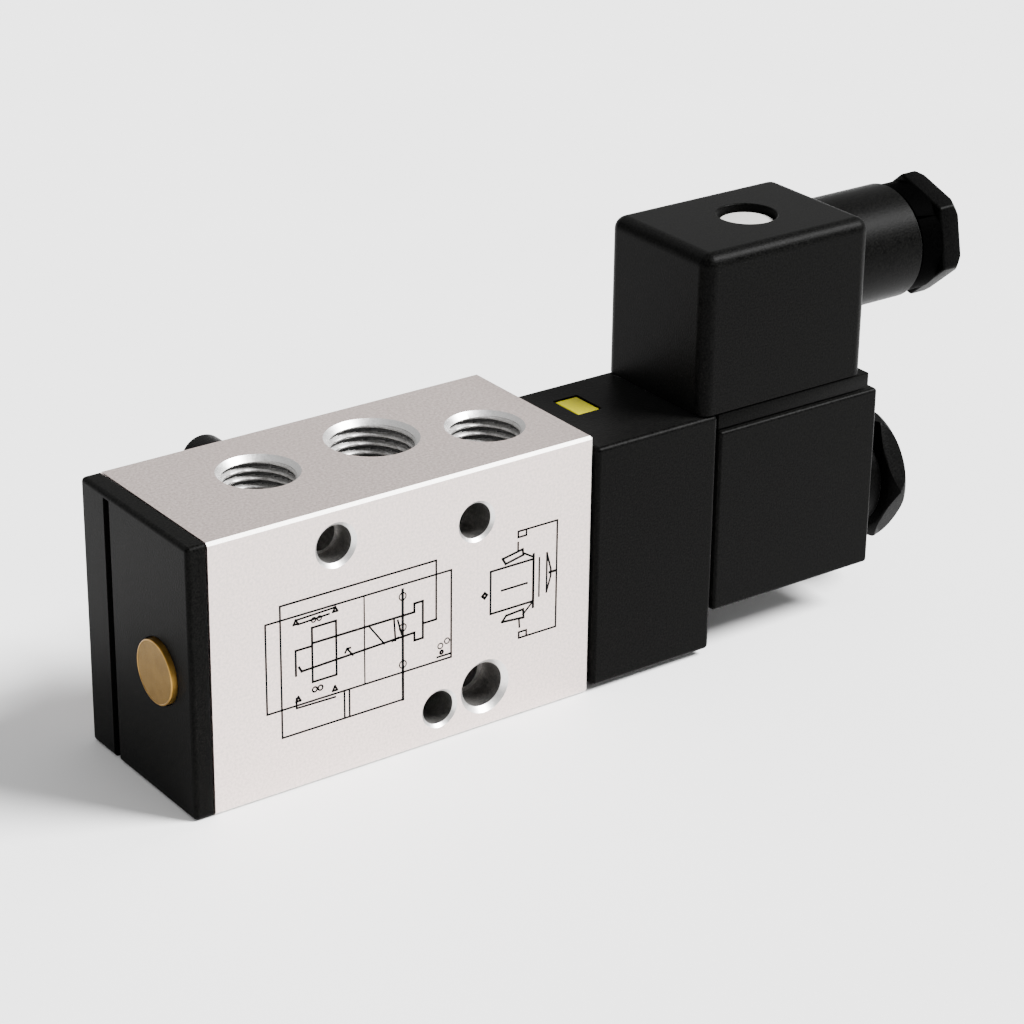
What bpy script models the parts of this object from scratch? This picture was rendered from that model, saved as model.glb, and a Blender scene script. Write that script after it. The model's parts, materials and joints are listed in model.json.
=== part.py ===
"""A 5/2 solenoid directional valve with a flange at its back, a pilot section, a coil and a plug connector.

Metres and +Z up in the scene. The sizes below are in millimetres, and the helpers turn them into metres.
The origin is the centre of the valve body's underside. +X runs along the spool towards the coil, -Y is
the front face, and +Y is the back face, which bolts to the actuator.
"""

import math

import bmesh
import bpy
from mathutils import Quaternion, Vector

MM = 0.001
GAP = 0.3  # clearance between pieces that touch
OVERRUN = 1.0  # how far a cutter stands outside the face it cuts

# Valve body, a block of aluminium.
BODY_LENGTH = 62.0
BODY_DEPTH = 28.0
BODY_HEIGHT = 40.0
BODY_BEVEL = 0.5
BODY_LEFT = -BODY_LENGTH / 2
BODY_RIGHT = BODY_LENGTH / 2
FRONT = -BODY_DEPTH / 2
BACK = BODY_DEPTH / 2

# Spool line: the spool, its spring and the brass pin share this axis.
SPOOL_Y = -5.7
SPOOL_Z = 19.1
SPOOL_BORE_R = 5.0
CHAMBER_R = 6.0
CHAMBER_WIDTH = 4.0
CHAMBERS = (-11.3, -1.1, 5.4, 11.9, 18.6)  # exhaust, outlet, supply, outlet, exhaust
SPOOL_STROKE = 3.0
SPOOL_LEFT = -17.2
SPOOL_RIGHT = 28.5
PISTON_BORE_R = 6.8
PISTON_BORE_X = SPOOL_RIGHT + GAP - SPOOL_STROKE - 0.1
SEALS = (-15.5, -1.6, 2.15, 11.65, 15.25, 24.6)  # centres, with the valve at rest
SEAL_R = 4.2
SEAL_WIRE_R = 0.75
SEAL_GROOVE_HALF = 0.95
SEAL_GROOVE_R = 3.2
COLLAR_R = 4.6
COLLAR_WIDTH = 0.7
NECK_R = 2.9
PIN_R = 4.6
PIN_STEM_R = 2.0
PIN_PROUD = 0.8

# Ports in the top face: centre x, centre y, thread core radius, chamfer radius, depth,
# and the drilling from the port's floor down to its chamber (x, y, radius).
TOP_PORTS = {
    "left": (-13.6, 1.9, 5.05, 5.85, 10.0, (-11.4, 0.8, 1.7)),
    "middle": (5.4, 3.0, 5.95, 6.75, 10.5, (5.4, -0.1, 1.95)),
    "right": (20.6, -2.5, 4.95, 5.7, 10.0, (18.6, -3.9, 1.7)),
}
# Outlets in the back face: centre x and the x of the drilling to the chamber.
BACK_PORTS = ((-3.4, CHAMBERS[1]), (14.2, CHAMBERS[3]))
BACK_PORT_R = 4.2
BACK_PORT_DEPTH = 10.0
BACK_PASSAGE_R = 1.8
FLANGE_SEAT_R = 7.1
FLANGE_SEAT_DEPTH = 1.4
FLANGE_SEAL_R = 5.9
FLANGE_SEAL_WIRE_R = 0.8
# Holes in the front face: x, z, [(depth, radius), ...] and chamfer radius.
THROUGH = BODY_DEPTH + OVERRUN
FRONT_HOLES = (
    (-11.5, 34.6, ((4.0, 2.75), (8.5, 2.3)), 3.3),
    (11.2, 32.1, ((8.5, 2.6),), 3.05),
    (12.75, 6.4, ((5.5, 3.35), (THROUGH, 2.6)), 4.1),
    (5.1, 5.2, ((THROUGH, 2.5),), 2.95),
)
STUD_X = -11.0
STUD_Z = 34.4

# End cap at the left.
CAP_THICK = 2.8
CAP_LEFT = BODY_LEFT - GAP - CAP_THICK
CAP_BEVEL = 0.6
CAP_GROOVE = (6.2, 7.8)
CAP_GROOVE_DEPTH = 1.2
CAP_GROOVE_TOP = 39.2
PEG_R = 1.6
PEG_PLACES = ((-10.5, 5.0), (-10.5, 35.0), (10.5, 5.0), (10.5, 35.0))
POCKET = 0.9  # depth of the pockets that hold the flat gaskets
GASKET = 0.6

# Pilot block, between the valve body and the coil.
BLOCK_LEFT = BODY_RIGHT + GAP
BLOCK_RIGHT = 52.8
BLOCK_Y = (-14.57, 7.6)
BLOCK_Z = (0.9, 38.1)
BLOCK_BEVEL = 0.6
PILOT_SCREWS = ((4.2, 10.5), (-10.3, 33.5))
SCREW_R = 1.5
SUPPLY_Y = 5.4
SUPPLY_Z = 31.0
OUTLET_Y = -6.7

# Manual override: a sprung plunger that shows as a small rectangle in the top of the pilot block.
OVERRIDE_X = 38.55
OVERRIDE_Y = -0.1
OVERRIDE_HEAD = (3.8, 5.5)
OVERRIDE_POCKET = (4.4, 6.1)
OVERRIDE_TOP = 38.0
OVERRIDE_HEAD_HEIGHT = 5.0
OVERRIDE_FLOOR = 31.0
OVERRIDE_BORE_R = 2.3
OVERRIDE_STEM_R = 2.0

# Solenoid line: nozzle, armature, tube, core, winding and coil nut share this axis.
COIL_Y = -3.5
COIL_Z = 16.75
TUBE_R = 4.5
TUBE_BORE_R = 4.1
TUBE_LEFT = 46.7
TUBE_RIGHT = 79.5
ARMATURE_STROKE = 1.2
CORE_LEFT = 70.5
ARMATURE_RIGHT = CORE_LEFT - GAP - ARMATURE_STROKE
COIL_X = (53.1, 83.1)
COIL_BOX_Y = (-14.8, 7.8)
COIL_BOX_Z = (7.0, 35.4)
COIL_BEVEL = 0.4
COIL_NUT_X = (88.4, 92.4)
COIL_NUT_CORNER_R = 11.0
COIL_NUT_SPIN = 30.0  # turns two of the corners to the front and the back
COIL_WASHER_R = 8.3

# Plug connector above the coil, and its cable gland.
PLUG_X = (49.65, 80.2)
PLUG_Y = (-14.55, 7.85)
PLUG_Z = (38.35, 62.4)
PLUG_WALL = 2.0
PLUG_ROUND = 2.0
PLUG_SCREW_X = 66.3
PLUG_SCREW_Y = -3.0
RECESS_R = 4.4
GLAND_Z = 53.2
GLAND_R = 8.6
GLAND_BORE_R = 7.0
GLAND_END = 93.0
GLAND_NUT_END = 101.0
GLAND_HEX_R = 9.3
GLAND_HEX_SPIN = -12.0
BLADE = (0.8, 6.3)
BLADE_Z = (31.9, 46.0)
# Blades: name, x, y, and whether the blade lies across the valve.
BLADES = (
    ("coil_blade_1", 56.5, -3.5, True),
    ("coil_blade_2", 73.0, -3.5, True),
    ("earth_blade", 67.2, -9.7, False),
)
CLAMP_SCREWS = ((56.5, 2.2), (73.0, 2.2), (60.5, -9.0))

# Looks: colour, roughness, metallic.
LOOKS = {
    "aluminium": ((0.78, 0.76, 0.74), 0.42, 1.0),
    "black_plastic": ((0.017, 0.017, 0.016), 0.5, 0.0),
    "cap_plastic": ((0.024, 0.024, 0.023), 0.5, 0.0),
    "white_plastic": ((0.82, 0.81, 0.78), 0.45, 0.0),
    "yellow_plastic": ((0.86, 0.74, 0.05), 0.45, 0.0),
    "grey_plastic": ((0.2, 0.2, 0.2), 0.55, 0.0),
    "rubber": ((0.02, 0.02, 0.02), 0.75, 0.0),
    "brass": ((0.6, 0.42, 0.16), 0.35, 1.0),
    "steel": ((0.5, 0.5, 0.52), 0.3, 1.0),
    "copper": ((0.6, 0.22, 0.1), 0.35, 1.0),
}


def collection(name):
    """A collection of this name, linked to the scene."""
    found = bpy.data.collections.new(name)
    bpy.context.scene.collection.children.link(found)
    return found


def material(name, look):
    """A Principled material of its own for one piece."""
    colour, roughness, metallic = LOOKS[look]
    made = bpy.data.materials.new(name)
    made.use_nodes = True
    shader = made.node_tree.nodes["Principled BSDF"]
    shader.inputs["Base Color"].default_value = (*colour, 1.0)
    shader.inputs["Roughness"].default_value = roughness
    shader.inputs["Metallic"].default_value = metallic
    return made


def place(name, mesh, look=None):
    """An object for the mesh: a piece when it has a look, and a cutter when it has none."""
    obj = bpy.data.objects.new(name, mesh)
    if look:
        PIECES.objects.link(obj)
        mesh.materials.append(material(name, look))
    else:
        CUTTERS.objects.link(obj)
        obj.hide_render = True
        obj.display_type = "WIRE"
    return obj


def box(name, x, y, z, look=None):
    """A box between the two values given along each axis, with its origin at its centre."""
    spans = (x, y, z)
    form = bmesh.new()
    bmesh.ops.create_cube(form, size=1.0)
    bmesh.ops.scale(form, vec=[(high - low) * MM for low, high in spans], verts=form.verts)
    mesh = bpy.data.meshes.new(name)
    form.to_mesh(mesh)
    form.free()
    obj = place(name, mesh, look)
    obj.location = [(low + high) / 2 * MM for low, high in spans]
    return obj


def turned(name, outline, centre, direction, look=None, steps=24, ring=False, spin=0.0):
    """A turned piece from (radius, height) points that run from the top down the outer side.

    Height is measured from centre along direction. A ring's outline is a closed loop.
    Spin turns the piece about its own axis, in degrees.
    """
    mesh = bpy.data.meshes.new(name)
    points = [(radius * MM, 0.0, height * MM) for radius, height in outline]
    links = [(i, i + 1) for i in range(len(points) - 1)]
    if ring:
        links.append((len(points) - 1, 0))
    mesh.from_pydata(points, links, [])
    obj = place(name, mesh, look)
    obj.location = Vector(centre) * MM
    obj.rotation_mode = "QUATERNION"
    upright = Vector((0, 0, 1))
    own_turn = Quaternion(upright, math.radians(spin))
    obj.rotation_quaternion = upright.rotation_difference(Vector(direction)) @ own_turn
    screw = obj.modifiers.new("turn", "SCREW")
    screw.axis = "Z"
    screw.angle = math.tau
    screw.steps = steps
    screw.render_steps = steps
    screw.use_merge_vertices = True
    screw.merge_threshold = 0.00001
    screw.use_smooth_shade = steps > 6
    return obj


def rod(name, radius, low, high, centre, direction, look=None, steps=24):
    """A plain round bar between two heights."""
    outline = [(0, high), (radius, high), (radius, low), (0, low)]
    return turned(name, outline, centre, direction, look, steps)


def tube(name, outer, inner, low, high, centre, direction, look=None, steps=24):
    """A plain round tube or washer between two heights."""
    outline = [(inner, high), (outer, high), (outer, low), (inner, low)]
    return turned(name, outline, centre, direction, look, steps, ring=True)


def seal_ring(name, radius, wire_radius, height, centre, direction, steps=18, sides=6):
    """An O-ring, turned from a small circle."""
    outline = []
    for i in range(sides):
        angle = math.tau * i / sides
        outline.append((radius - wire_radius * math.cos(angle), height + wire_radius * math.sin(angle)))
    return turned(name, outline, centre, direction, "rubber", steps, ring=True)


def spring(name, radius, wire_radius, start, end, turns, steps_a_turn=10):
    """A helical spring whose axis runs from start to end, as a bevelled curve made into a mesh."""
    first = Vector(start) * MM
    span = (Vector(end) - Vector(start)) * MM
    turn = Vector((0, 0, 1)).rotation_difference(span)
    count = int(turns * steps_a_turn)
    curve = bpy.data.curves.new(name + "_wire", "CURVE")
    curve.dimensions = "3D"
    curve.bevel_depth = wire_radius * MM
    curve.bevel_resolution = 0
    curve.use_fill_caps = True
    line = curve.splines.new("POLY")
    line.points.add(count)
    for i in range(count + 1):
        angle = math.tau * i / steps_a_turn
        height = wire_radius * MM + (span.length - 2 * wire_radius * MM) * i / count
        point = Vector((radius * MM * math.cos(angle), radius * MM * math.sin(angle), height))
        line.points[i].co = (*(turn @ point), 1.0)
    guide = bpy.data.objects.new(name + "_wire", curve)
    CUTTERS.objects.link(guide)
    bpy.context.view_layer.update()
    shaped = guide.evaluated_get(bpy.context.evaluated_depsgraph_get())
    mesh = bpy.data.meshes.new_from_object(shaped)
    form = bmesh.new()
    form.from_mesh(mesh)
    bmesh.ops.remove_doubles(form, verts=form.verts, dist=0.00001)
    form.to_mesh(mesh)
    form.free()
    bpy.data.objects.remove(guide)
    mesh.materials.clear()
    obj = place(name, mesh, "steel")
    obj.location = first
    return obj


def bevel(obj, width, segments=1):
    """Round or chamfer every edge of a piece."""
    edge = obj.modifiers.new("edges", "BEVEL")
    edge.width = width * MM
    edge.segments = segments
    edge.limit_method = "ANGLE"
    edge.angle_limit = math.radians(40)
    return obj


def combine(obj, operation, others):
    """Add a Boolean for each other object, in order."""
    for other in others:
        change = obj.modifiers.new(other.name, "BOOLEAN")
        change.operation = operation
        change.solver = "EXACT"
        change.object = other
    return obj


def cut(obj, *cutters):
    return combine(obj, "DIFFERENCE", cutters)


def join(obj, *additions):
    return combine(obj, "UNION", additions)


def hole(name, mouth, outward, stages, chamfer=None, steps=16):
    """A cutter for a stepped round hole: (depth, radius) stages from the mouth inwards."""
    first = stages[0][1]
    if chamfer:
        outline = [(0, OVERRUN), (chamfer + OVERRUN, OVERRUN), (first, first - chamfer)]
    else:
        outline = [(0, OVERRUN), (first, OVERRUN)]
    for (depth, radius), following in zip(stages, [*stages[1:], None]):
        outline.append((radius, -depth))
        outline.append((following[1] if following else 0, -depth))
    return turned(name + "_cutter", outline, mouth, outward, steps=steps)


# Valve body and what is fixed to it


def spool_bore():
    """The stepped bore through the body, with a ring chamber at each port."""
    outline = [(0, BODY_RIGHT + OVERRUN), (PISTON_BORE_R, BODY_RIGHT + OVERRUN)]
    outline += [(PISTON_BORE_R, PISTON_BORE_X), (SPOOL_BORE_R, PISTON_BORE_X)]
    for x in reversed(CHAMBERS):
        high = x + CHAMBER_WIDTH / 2
        low = x - CHAMBER_WIDTH / 2
        outline += [(SPOOL_BORE_R, high), (CHAMBER_R, high), (CHAMBER_R, low), (SPOOL_BORE_R, low)]
    outline += [(SPOOL_BORE_R, BODY_LEFT - OVERRUN), (0, BODY_LEFT - OVERRUN)]
    return turned("spool_bore_cutter", outline, (0, SPOOL_Y, SPOOL_Z), (1, 0, 0))


def top_port_cutters():
    for name, (x, y, radius, chamfer, depth, passage) in TOP_PORTS.items():
        yield hole(f"{name}_port", (x, y, BODY_HEIGHT), (0, 0, 1), [(depth, radius)], chamfer, steps=24)
        px, py, pr = passage
        floor = BODY_HEIGHT - depth
        yield rod(f"{name}_passage_cutter", pr, SPOOL_Z, floor + 0.5, (px, py, 0), (0, 0, 1), steps=10)


def back_port_cutters():
    for number, (x, passage_x) in enumerate(BACK_PORTS, 1):
        stages = [(FLANGE_SEAT_DEPTH, FLANGE_SEAT_R), (BACK_PORT_DEPTH, BACK_PORT_R)]
        yield hole(f"outlet_{number}", (x, BACK, SPOOL_Z), (0, 1, 0), stages, steps=20)
        start = BACK - BACK_PORT_DEPTH + 0.5
        centre = (passage_x, 0, SPOOL_Z)
        name = f"outlet_passage_{number}_cutter"
        yield rod(name, BACK_PASSAGE_R, -3.0, start, centre, (0, 1, 0), steps=10)


def small_hole_cutters():
    for number, (x, z, stages, chamfer) in enumerate(FRONT_HOLES, 1):
        yield hole(f"front_hole_{number}", (x, FRONT, z), (0, -1, 0), stages, chamfer)
    yield hole("stud_hole", (STUD_X, BACK, STUD_Z), (0, 1, 0), [(6.1, 2.5)], steps=12)
    for number, (y, z) in enumerate(PEG_PLACES, 1):
        yield hole(f"peg_hole_{number}", (BODY_LEFT, y, z), (-1, 0, 0), [(6.0, PEG_R + GAP)], steps=8)
    for number, (y, z) in enumerate(PILOT_SCREWS, 1):
        yield hole(f"screw_hole_{number}", (BODY_RIGHT, y, z), (1, 0, 0), [(10.0, SCREW_R + GAP)], steps=10)
    yield hole("supply_channel", (BODY_RIGHT, SUPPLY_Y, SUPPLY_Z), (1, 0, 0), [(21.5, 1.0)], steps=8)


def build_valve_body():
    body = box("valve_body", (BODY_LEFT, BODY_RIGHT), (FRONT, BACK), (0, BODY_HEIGHT), "aluminium")
    bevel(body, BODY_BEVEL)
    cut(body, spool_bore(), *top_port_cutters(), *back_port_cutters(), *small_hole_cutters())


def build_end_cap():
    """The moulded cap: a plate with a slot down its face, a hole for the pin, and four pegs."""
    right = BODY_LEFT - GAP
    cap = box("end_cap", (CAP_LEFT, right), (FRONT, BACK), (0, BODY_HEIGHT), "cap_plastic")
    bevel(cap, CAP_BEVEL, 2)
    groove_x = (CAP_LEFT - OVERRUN, CAP_LEFT + CAP_GROOVE_DEPTH)
    groove = box("cap_groove_cutter", groove_x, CAP_GROOVE, (-OVERRUN, CAP_GROOVE_TOP))
    pocket_x = (right - POCKET, right + OVERRUN)
    pocket = box("cap_pocket_cutter", pocket_x, (FRONT + 2, BACK - 2), (2, BODY_HEIGHT - 2))
    stages = [(CAP_THICK + OVERRUN, PIN_R + 0.3)]
    pin_hole = hole("pin_hole", (CAP_LEFT, SPOOL_Y, SPOOL_Z), (-1, 0, 0), stages, steps=28)
    cut(cap, groove, pocket, pin_hole)
    ends = (right - POCKET - 0.4, BODY_LEFT + 5.2)
    for number, (y, z) in enumerate(PEG_PLACES, 1):
        join(cap, rod(f"cap_peg_{number}", PEG_R, *ends, (0, y, z), (1, 0, 0), steps=8))


def build_cap_gasket():
    right = BODY_LEFT - GAP
    inset = 2 + GAP
    spans = (right - GASKET, right), (FRONT + inset, BACK - inset), (inset, BODY_HEIGHT - inset)
    gasket = box("end_cap_gasket", *spans, "rubber")
    mouth = right - GASKET - OVERRUN
    cut(gasket, rod("gasket_pin_cutter", 6.2, mouth, right + OVERRUN, (0, SPOOL_Y, SPOOL_Z), (1, 0, 0)))
    for number, (y, z) in enumerate(PEG_PLACES, 1):
        name = f"gasket_peg_{number}_cutter"
        cut(gasket, rod(name, PEG_R + GAP, mouth, right + OVERRUN, (0, y, z), (1, 0, 0), steps=8))


def build_spring_seat():
    """The washer that the return spring pushes on, held between the cap and the body."""
    right = BODY_LEFT - GAP
    line = (0, SPOOL_Y, SPOOL_Z)
    tube("spring_seat", 5.9, PIN_STEM_R + GAP, right - GASKET, right, line, (1, 0, 0), "steel", 24)


def build_flange_pieces():
    """The two O-rings in the back face, and the stud that sets which way round the valve fits."""
    ring_y = BACK - FLANGE_SEAT_DEPTH + 0.25 + FLANGE_SEAL_WIRE_R
    for number, (x, _) in enumerate(BACK_PORTS, 1):
        name = f"flange_seal_{number}"
        seal_ring(name, FLANGE_SEAL_R, FLANGE_SEAL_WIRE_R, ring_y, (x, 0, SPOOL_Z), (0, 1, 0), steps=24)
    outline = [(0, 21.75), (2.9, 21.75), (3.5, 21.15), (3.5, BACK + GAP)]
    outline += [(2.2, BACK + GAP), (2.2, BACK - 5.7), (0, BACK - 5.7)]
    turned("locating_stud", outline, (STUD_X, 0, STUD_Z), (0, 1, 0), "black_plastic", 20)


# Spool line


def build_spool():
    """The spool: a neck with a pair of collars round each seal's groove."""
    outline = [(0, SPOOL_RIGHT), (PIN_STEM_R, SPOOL_RIGHT), (PIN_STEM_R, SEALS[-1] + 1.65)]
    for centre in reversed(SEALS):
        high = centre + SEAL_GROOVE_HALF
        low = centre - SEAL_GROOVE_HALF
        outline += [(COLLAR_R, high + COLLAR_WIDTH), (COLLAR_R, high), (SEAL_GROOVE_R, high)]
        outline += [(SEAL_GROOVE_R, low), (COLLAR_R, low), (COLLAR_R, low - COLLAR_WIDTH)]
        if centre != SEALS[0]:
            following = SEALS[SEALS.index(centre) - 1] + SEAL_GROOVE_HALF + COLLAR_WIDTH
            outline += [(NECK_R, low - COLLAR_WIDTH), (NECK_R, following)]
    outline += [(COLLAR_R, SPOOL_LEFT), (PIN_STEM_R + GAP, SPOOL_LEFT)]
    outline += [(PIN_STEM_R + GAP, SPOOL_LEFT + 4.0), (0, SPOOL_LEFT + 4.0)]
    line = (0, SPOOL_Y, SPOOL_Z)
    turned("spool", outline, line, (1, 0, 0), "aluminium", 16)
    for number, centre in enumerate(SEALS, 1):
        seal_ring(f"spool_seal_{number}", SEAL_R, SEAL_WIRE_R, centre, line, (1, 0, 0))


def build_pilot_piston():
    line = (0, SPOOL_Y, SPOOL_Z)
    left = SPOOL_RIGHT + GAP
    right = left + 2.0
    middle = (left + right) / 2
    outline = [(0, right), (6.5, right), (6.5, middle + 0.65), (5.5, middle + 0.65)]
    outline += [(5.5, middle - 0.65), (6.5, middle - 0.65), (6.5, left), (0, left)]
    turned("pilot_piston", outline, line, (1, 0, 0), "brass", 20)
    seal_ring("piston_seal", 6.2, 0.5, middle, line, (1, 0, 0))


def build_brass_pin():
    """The flat brass head in the cap's hole, and the stem that screws into the spool."""
    left = CAP_LEFT - PIN_PROUD
    shoulder = BODY_LEFT - GAP - POCKET
    outline = [(0, SPOOL_LEFT + 3.7), (PIN_STEM_R, SPOOL_LEFT + 3.7), (PIN_STEM_R, shoulder)]
    outline += [(PIN_R, shoulder), (PIN_R, left + 0.3), (PIN_R - 0.3, left), (0, left)]
    turned("indicator_pin", outline, (0, SPOOL_Y, SPOOL_Z), (1, 0, 0), "brass", 28)


def build_return_spring():
    start = (BODY_LEFT + 0.1, SPOOL_Y, SPOOL_Z)
    end = (SPOOL_LEFT - GAP, SPOOL_Y, SPOOL_Z)
    spring("return_spring", 3.7, 0.4, start, end, 5)


# Pilot block


def pilot_channel_cutters():
    """Channels from the supply port to the nozzle, and from the armature to the piston."""
    supply = (0, SUPPLY_Y, SUPPLY_Z)
    yield rod("supply_along_cutter", 1.0, BLOCK_LEFT - OVERRUN, 39.0, supply, (1, 0, 0), steps=8)
    yield rod("supply_down_cutter", 1.0, COIL_Z, SUPPLY_Z, (38.0, SUPPLY_Y, 0), (0, 0, 1), steps=8)
    yield rod("supply_across_cutter", 0.9, COIL_Y - 0.5, SUPPLY_Y, (38.0, 0, COIL_Z), (0, 1, 0), steps=8)
    yield rod("nozzle_feed_cutter", 0.95, 37.5, 42.0, (0, COIL_Y, COIL_Z), (1, 0, 0), steps=8)
    outlet = (0, OUTLET_Y, COIL_Z)
    yield rod("outlet_along_cutter", 1.05, BLOCK_LEFT - OVERRUN, 47.0, outlet, (1, 0, 0), steps=8)
    yield rod("bypass_cutter", 0.85, OUTLET_Y, OVERRIDE_Y, (OVERRIDE_X, 0, COIL_Z + 0.7), (0, 1, 0), steps=8)


def build_pilot_block():
    block = box("pilot_block", (BLOCK_LEFT, BLOCK_RIGHT), BLOCK_Y, BLOCK_Z, "black_plastic")
    bevel(block, BLOCK_BEVEL, 2)
    pocket_x = (BLOCK_LEFT - OVERRUN, BLOCK_LEFT + POCKET)
    cut(block, box("block_pocket_cutter", pocket_x, (-12.6, 6.9), (3.5, 36.5)))
    seat = [(BLOCK_RIGHT - 46.4, 5.5), (BLOCK_RIGHT - 41.3, 2.9)]
    cut(block, hole("tube_seat", (BLOCK_RIGHT, COIL_Y, COIL_Z), (1, 0, 0), seat, steps=24))
    for number, (y, z) in enumerate(PILOT_SCREWS, 1):
        stages = [(3.4, 2.85), (BLOCK_RIGHT - BLOCK_LEFT + OVERRUN, SCREW_R + GAP)]
        cut(block, hole(f"block_screw_{number}", (BLOCK_RIGHT, y, z), (1, 0, 0), stages, steps=12))
    width, depth = OVERRIDE_POCKET
    window_x = (OVERRIDE_X - width / 2, OVERRIDE_X + width / 2)
    window_y = (OVERRIDE_Y - depth / 2, OVERRIDE_Y + depth / 2)
    cut(block, box("override_window_cutter", window_x, window_y, (OVERRIDE_FLOOR, BLOCK_Z[1] + OVERRUN)))
    line = (OVERRIDE_X, OVERRIDE_Y, 0)
    bore = rod("override_bore_cutter", OVERRIDE_BORE_R, 10.0, OVERRIDE_FLOOR + 0.5, line, (0, 0, 1))
    cut(block, bore, *pilot_channel_cutters())


def build_pilot_gasket():
    spans = (BLOCK_LEFT, BLOCK_LEFT + GASKET), (-12.3, 6.6), (3.8, 36.2)
    gasket = box("pilot_gasket", *spans, "rubber")
    ends = (BLOCK_LEFT - OVERRUN, BLOCK_LEFT + GASKET + OVERRUN)
    openings = [(y, z, SCREW_R + GAP) for y, z in PILOT_SCREWS]
    openings += [(SUPPLY_Y, SUPPLY_Z, 1.0), (OUTLET_Y, COIL_Z, 1.4)]
    for number, (y, z, radius) in enumerate(openings, 1):
        name = f"pilot_gasket_hole_{number}_cutter"
        cut(gasket, rod(name, radius, *ends, (0, y, z), (1, 0, 0), steps=10))


def build_pilot_screws():
    """Socket screws that hold the pilot block and the body together."""
    head_right = BLOCK_RIGHT - 0.2
    head_left = BLOCK_RIGHT - 3.1
    tip = BODY_RIGHT - 9.5
    for number, (y, z) in enumerate(PILOT_SCREWS, 1):
        outline = [(0, head_right), (2.5, head_right), (2.5, head_left), (SCREW_R, head_left)]
        outline += [(SCREW_R, tip), (0, tip)]
        screw = turned(f"pilot_screw_{number}", outline, (0, y, z), (1, 0, 0), "steel", 12)
        name = f"screw_socket_{number}_cutter"
        cut(screw, rod(name, 1.4, head_right - 1.5, head_right + OVERRUN, (0, y, z), (1, 0, 0), steps=6))


def build_override():
    """The yellow plunger, its seal and its spring."""
    width, depth = OVERRIDE_HEAD
    head_low = OVERRIDE_TOP - OVERRIDE_HEAD_HEIGHT
    plunger = box(
        "manual_override",
        (OVERRIDE_X - width / 2, OVERRIDE_X + width / 2),
        (OVERRIDE_Y - depth / 2, OVERRIDE_Y + depth / 2),
        (head_low, OVERRIDE_TOP),
        "yellow_plastic",
    )
    bevel(plunger, 0.2)
    line = (OVERRIDE_X, OVERRIDE_Y, 0)
    neck = 1.55
    outline = [(0, head_low + 0.5), (neck, head_low + 0.5), (neck, 25.0), (OVERRIDE_STEM_R, 25.0)]
    outline += [(OVERRIDE_STEM_R, 24.0), (1.3, 24.0), (1.3, 22.9), (OVERRIDE_STEM_R, 22.9)]
    outline += [(OVERRIDE_STEM_R, 19.0), (0, 19.0)]
    join(plunger, turned("override_stem", outline, line, (0, 0, 1), steps=16))
    seal_ring("override_seal", 1.83, 0.38, 23.45, line, (0, 0, 1), steps=14)
    start = (OVERRIDE_X, OVERRIDE_Y, 10.2)
    end = (OVERRIDE_X, OVERRIDE_Y, 18.8)
    spring("override_spring", 1.5, 0.25, start, end, 5, 8)


# Solenoid


def build_nozzle():
    """The brass orifice that the armature's seal closes."""
    outline = [(0.6, 46.3), (1.2, 46.3), (1.6, 45.6), (2.6, 45.6), (2.6, 41.6), (0.6, 41.6)]
    turned("pilot_nozzle", outline, (0, COIL_Y, COIL_Z), (1, 0, 0), "brass", 16, ring=True)


def build_armature_tube():
    line = (0, COIL_Y, COIL_Z)
    outline = [(TUBE_BORE_R, TUBE_RIGHT), (TUBE_R, TUBE_RIGHT), (TUBE_R, TUBE_LEFT + 1.7)]
    outline += [(5.2, TUBE_LEFT + 1.7), (5.2, TUBE_LEFT), (TUBE_BORE_R, TUBE_LEFT)]
    turned("armature_tube", outline, line, (1, 0, 0), "steel", 24, ring=True)
    seal_ring("tube_seal", 4.98, 0.38, TUBE_LEFT + 2.3, line, (1, 0, 0))
    tube("tube_retainer", 5.2, TUBE_R + 0.25, TUBE_LEFT + 3.0, BLOCK_RIGHT - 0.2, line, (1, 0, 0), "steel")


def build_fixed_core():
    """The core that closes the tube's end, with the stud for the coil nut."""
    outline = [(0, 91.2), (2.4, 91.2), (2.9, 90.7), (2.9, 81.2), (TUBE_R, 81.2), (TUBE_R, TUBE_RIGHT + GAP)]
    outline += [(TUBE_BORE_R - GAP, TUBE_RIGHT + GAP), (TUBE_BORE_R - GAP, CORE_LEFT), (0, CORE_LEFT)]
    turned("fixed_core", outline, (0, COIL_Y, COIL_Z), (1, 0, 0), "steel", 20)


def build_armature():
    line = (0, COIL_Y, COIL_Z)
    radius = TUBE_BORE_R - 0.35
    outline = [(0, 60.0), (2.2, 60.0), (2.2, ARMATURE_RIGHT), (radius, ARMATURE_RIGHT)]
    outline += [(radius, 47.0), (2.3, 47.0), (2.3, 48.7), (0, 48.7)]
    turned("armature", outline, line, (1, 0, 0), "steel", 20)
    rod("armature_seal", 2.0, 46.6, 48.4, line, (1, 0, 0), "rubber", 16)
    spring("armature_spring", 1.6, 0.25, (60.3, COIL_Y, COIL_Z), (CORE_LEFT - GAP, COIL_Y, COIL_Z), 6, 8)


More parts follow.
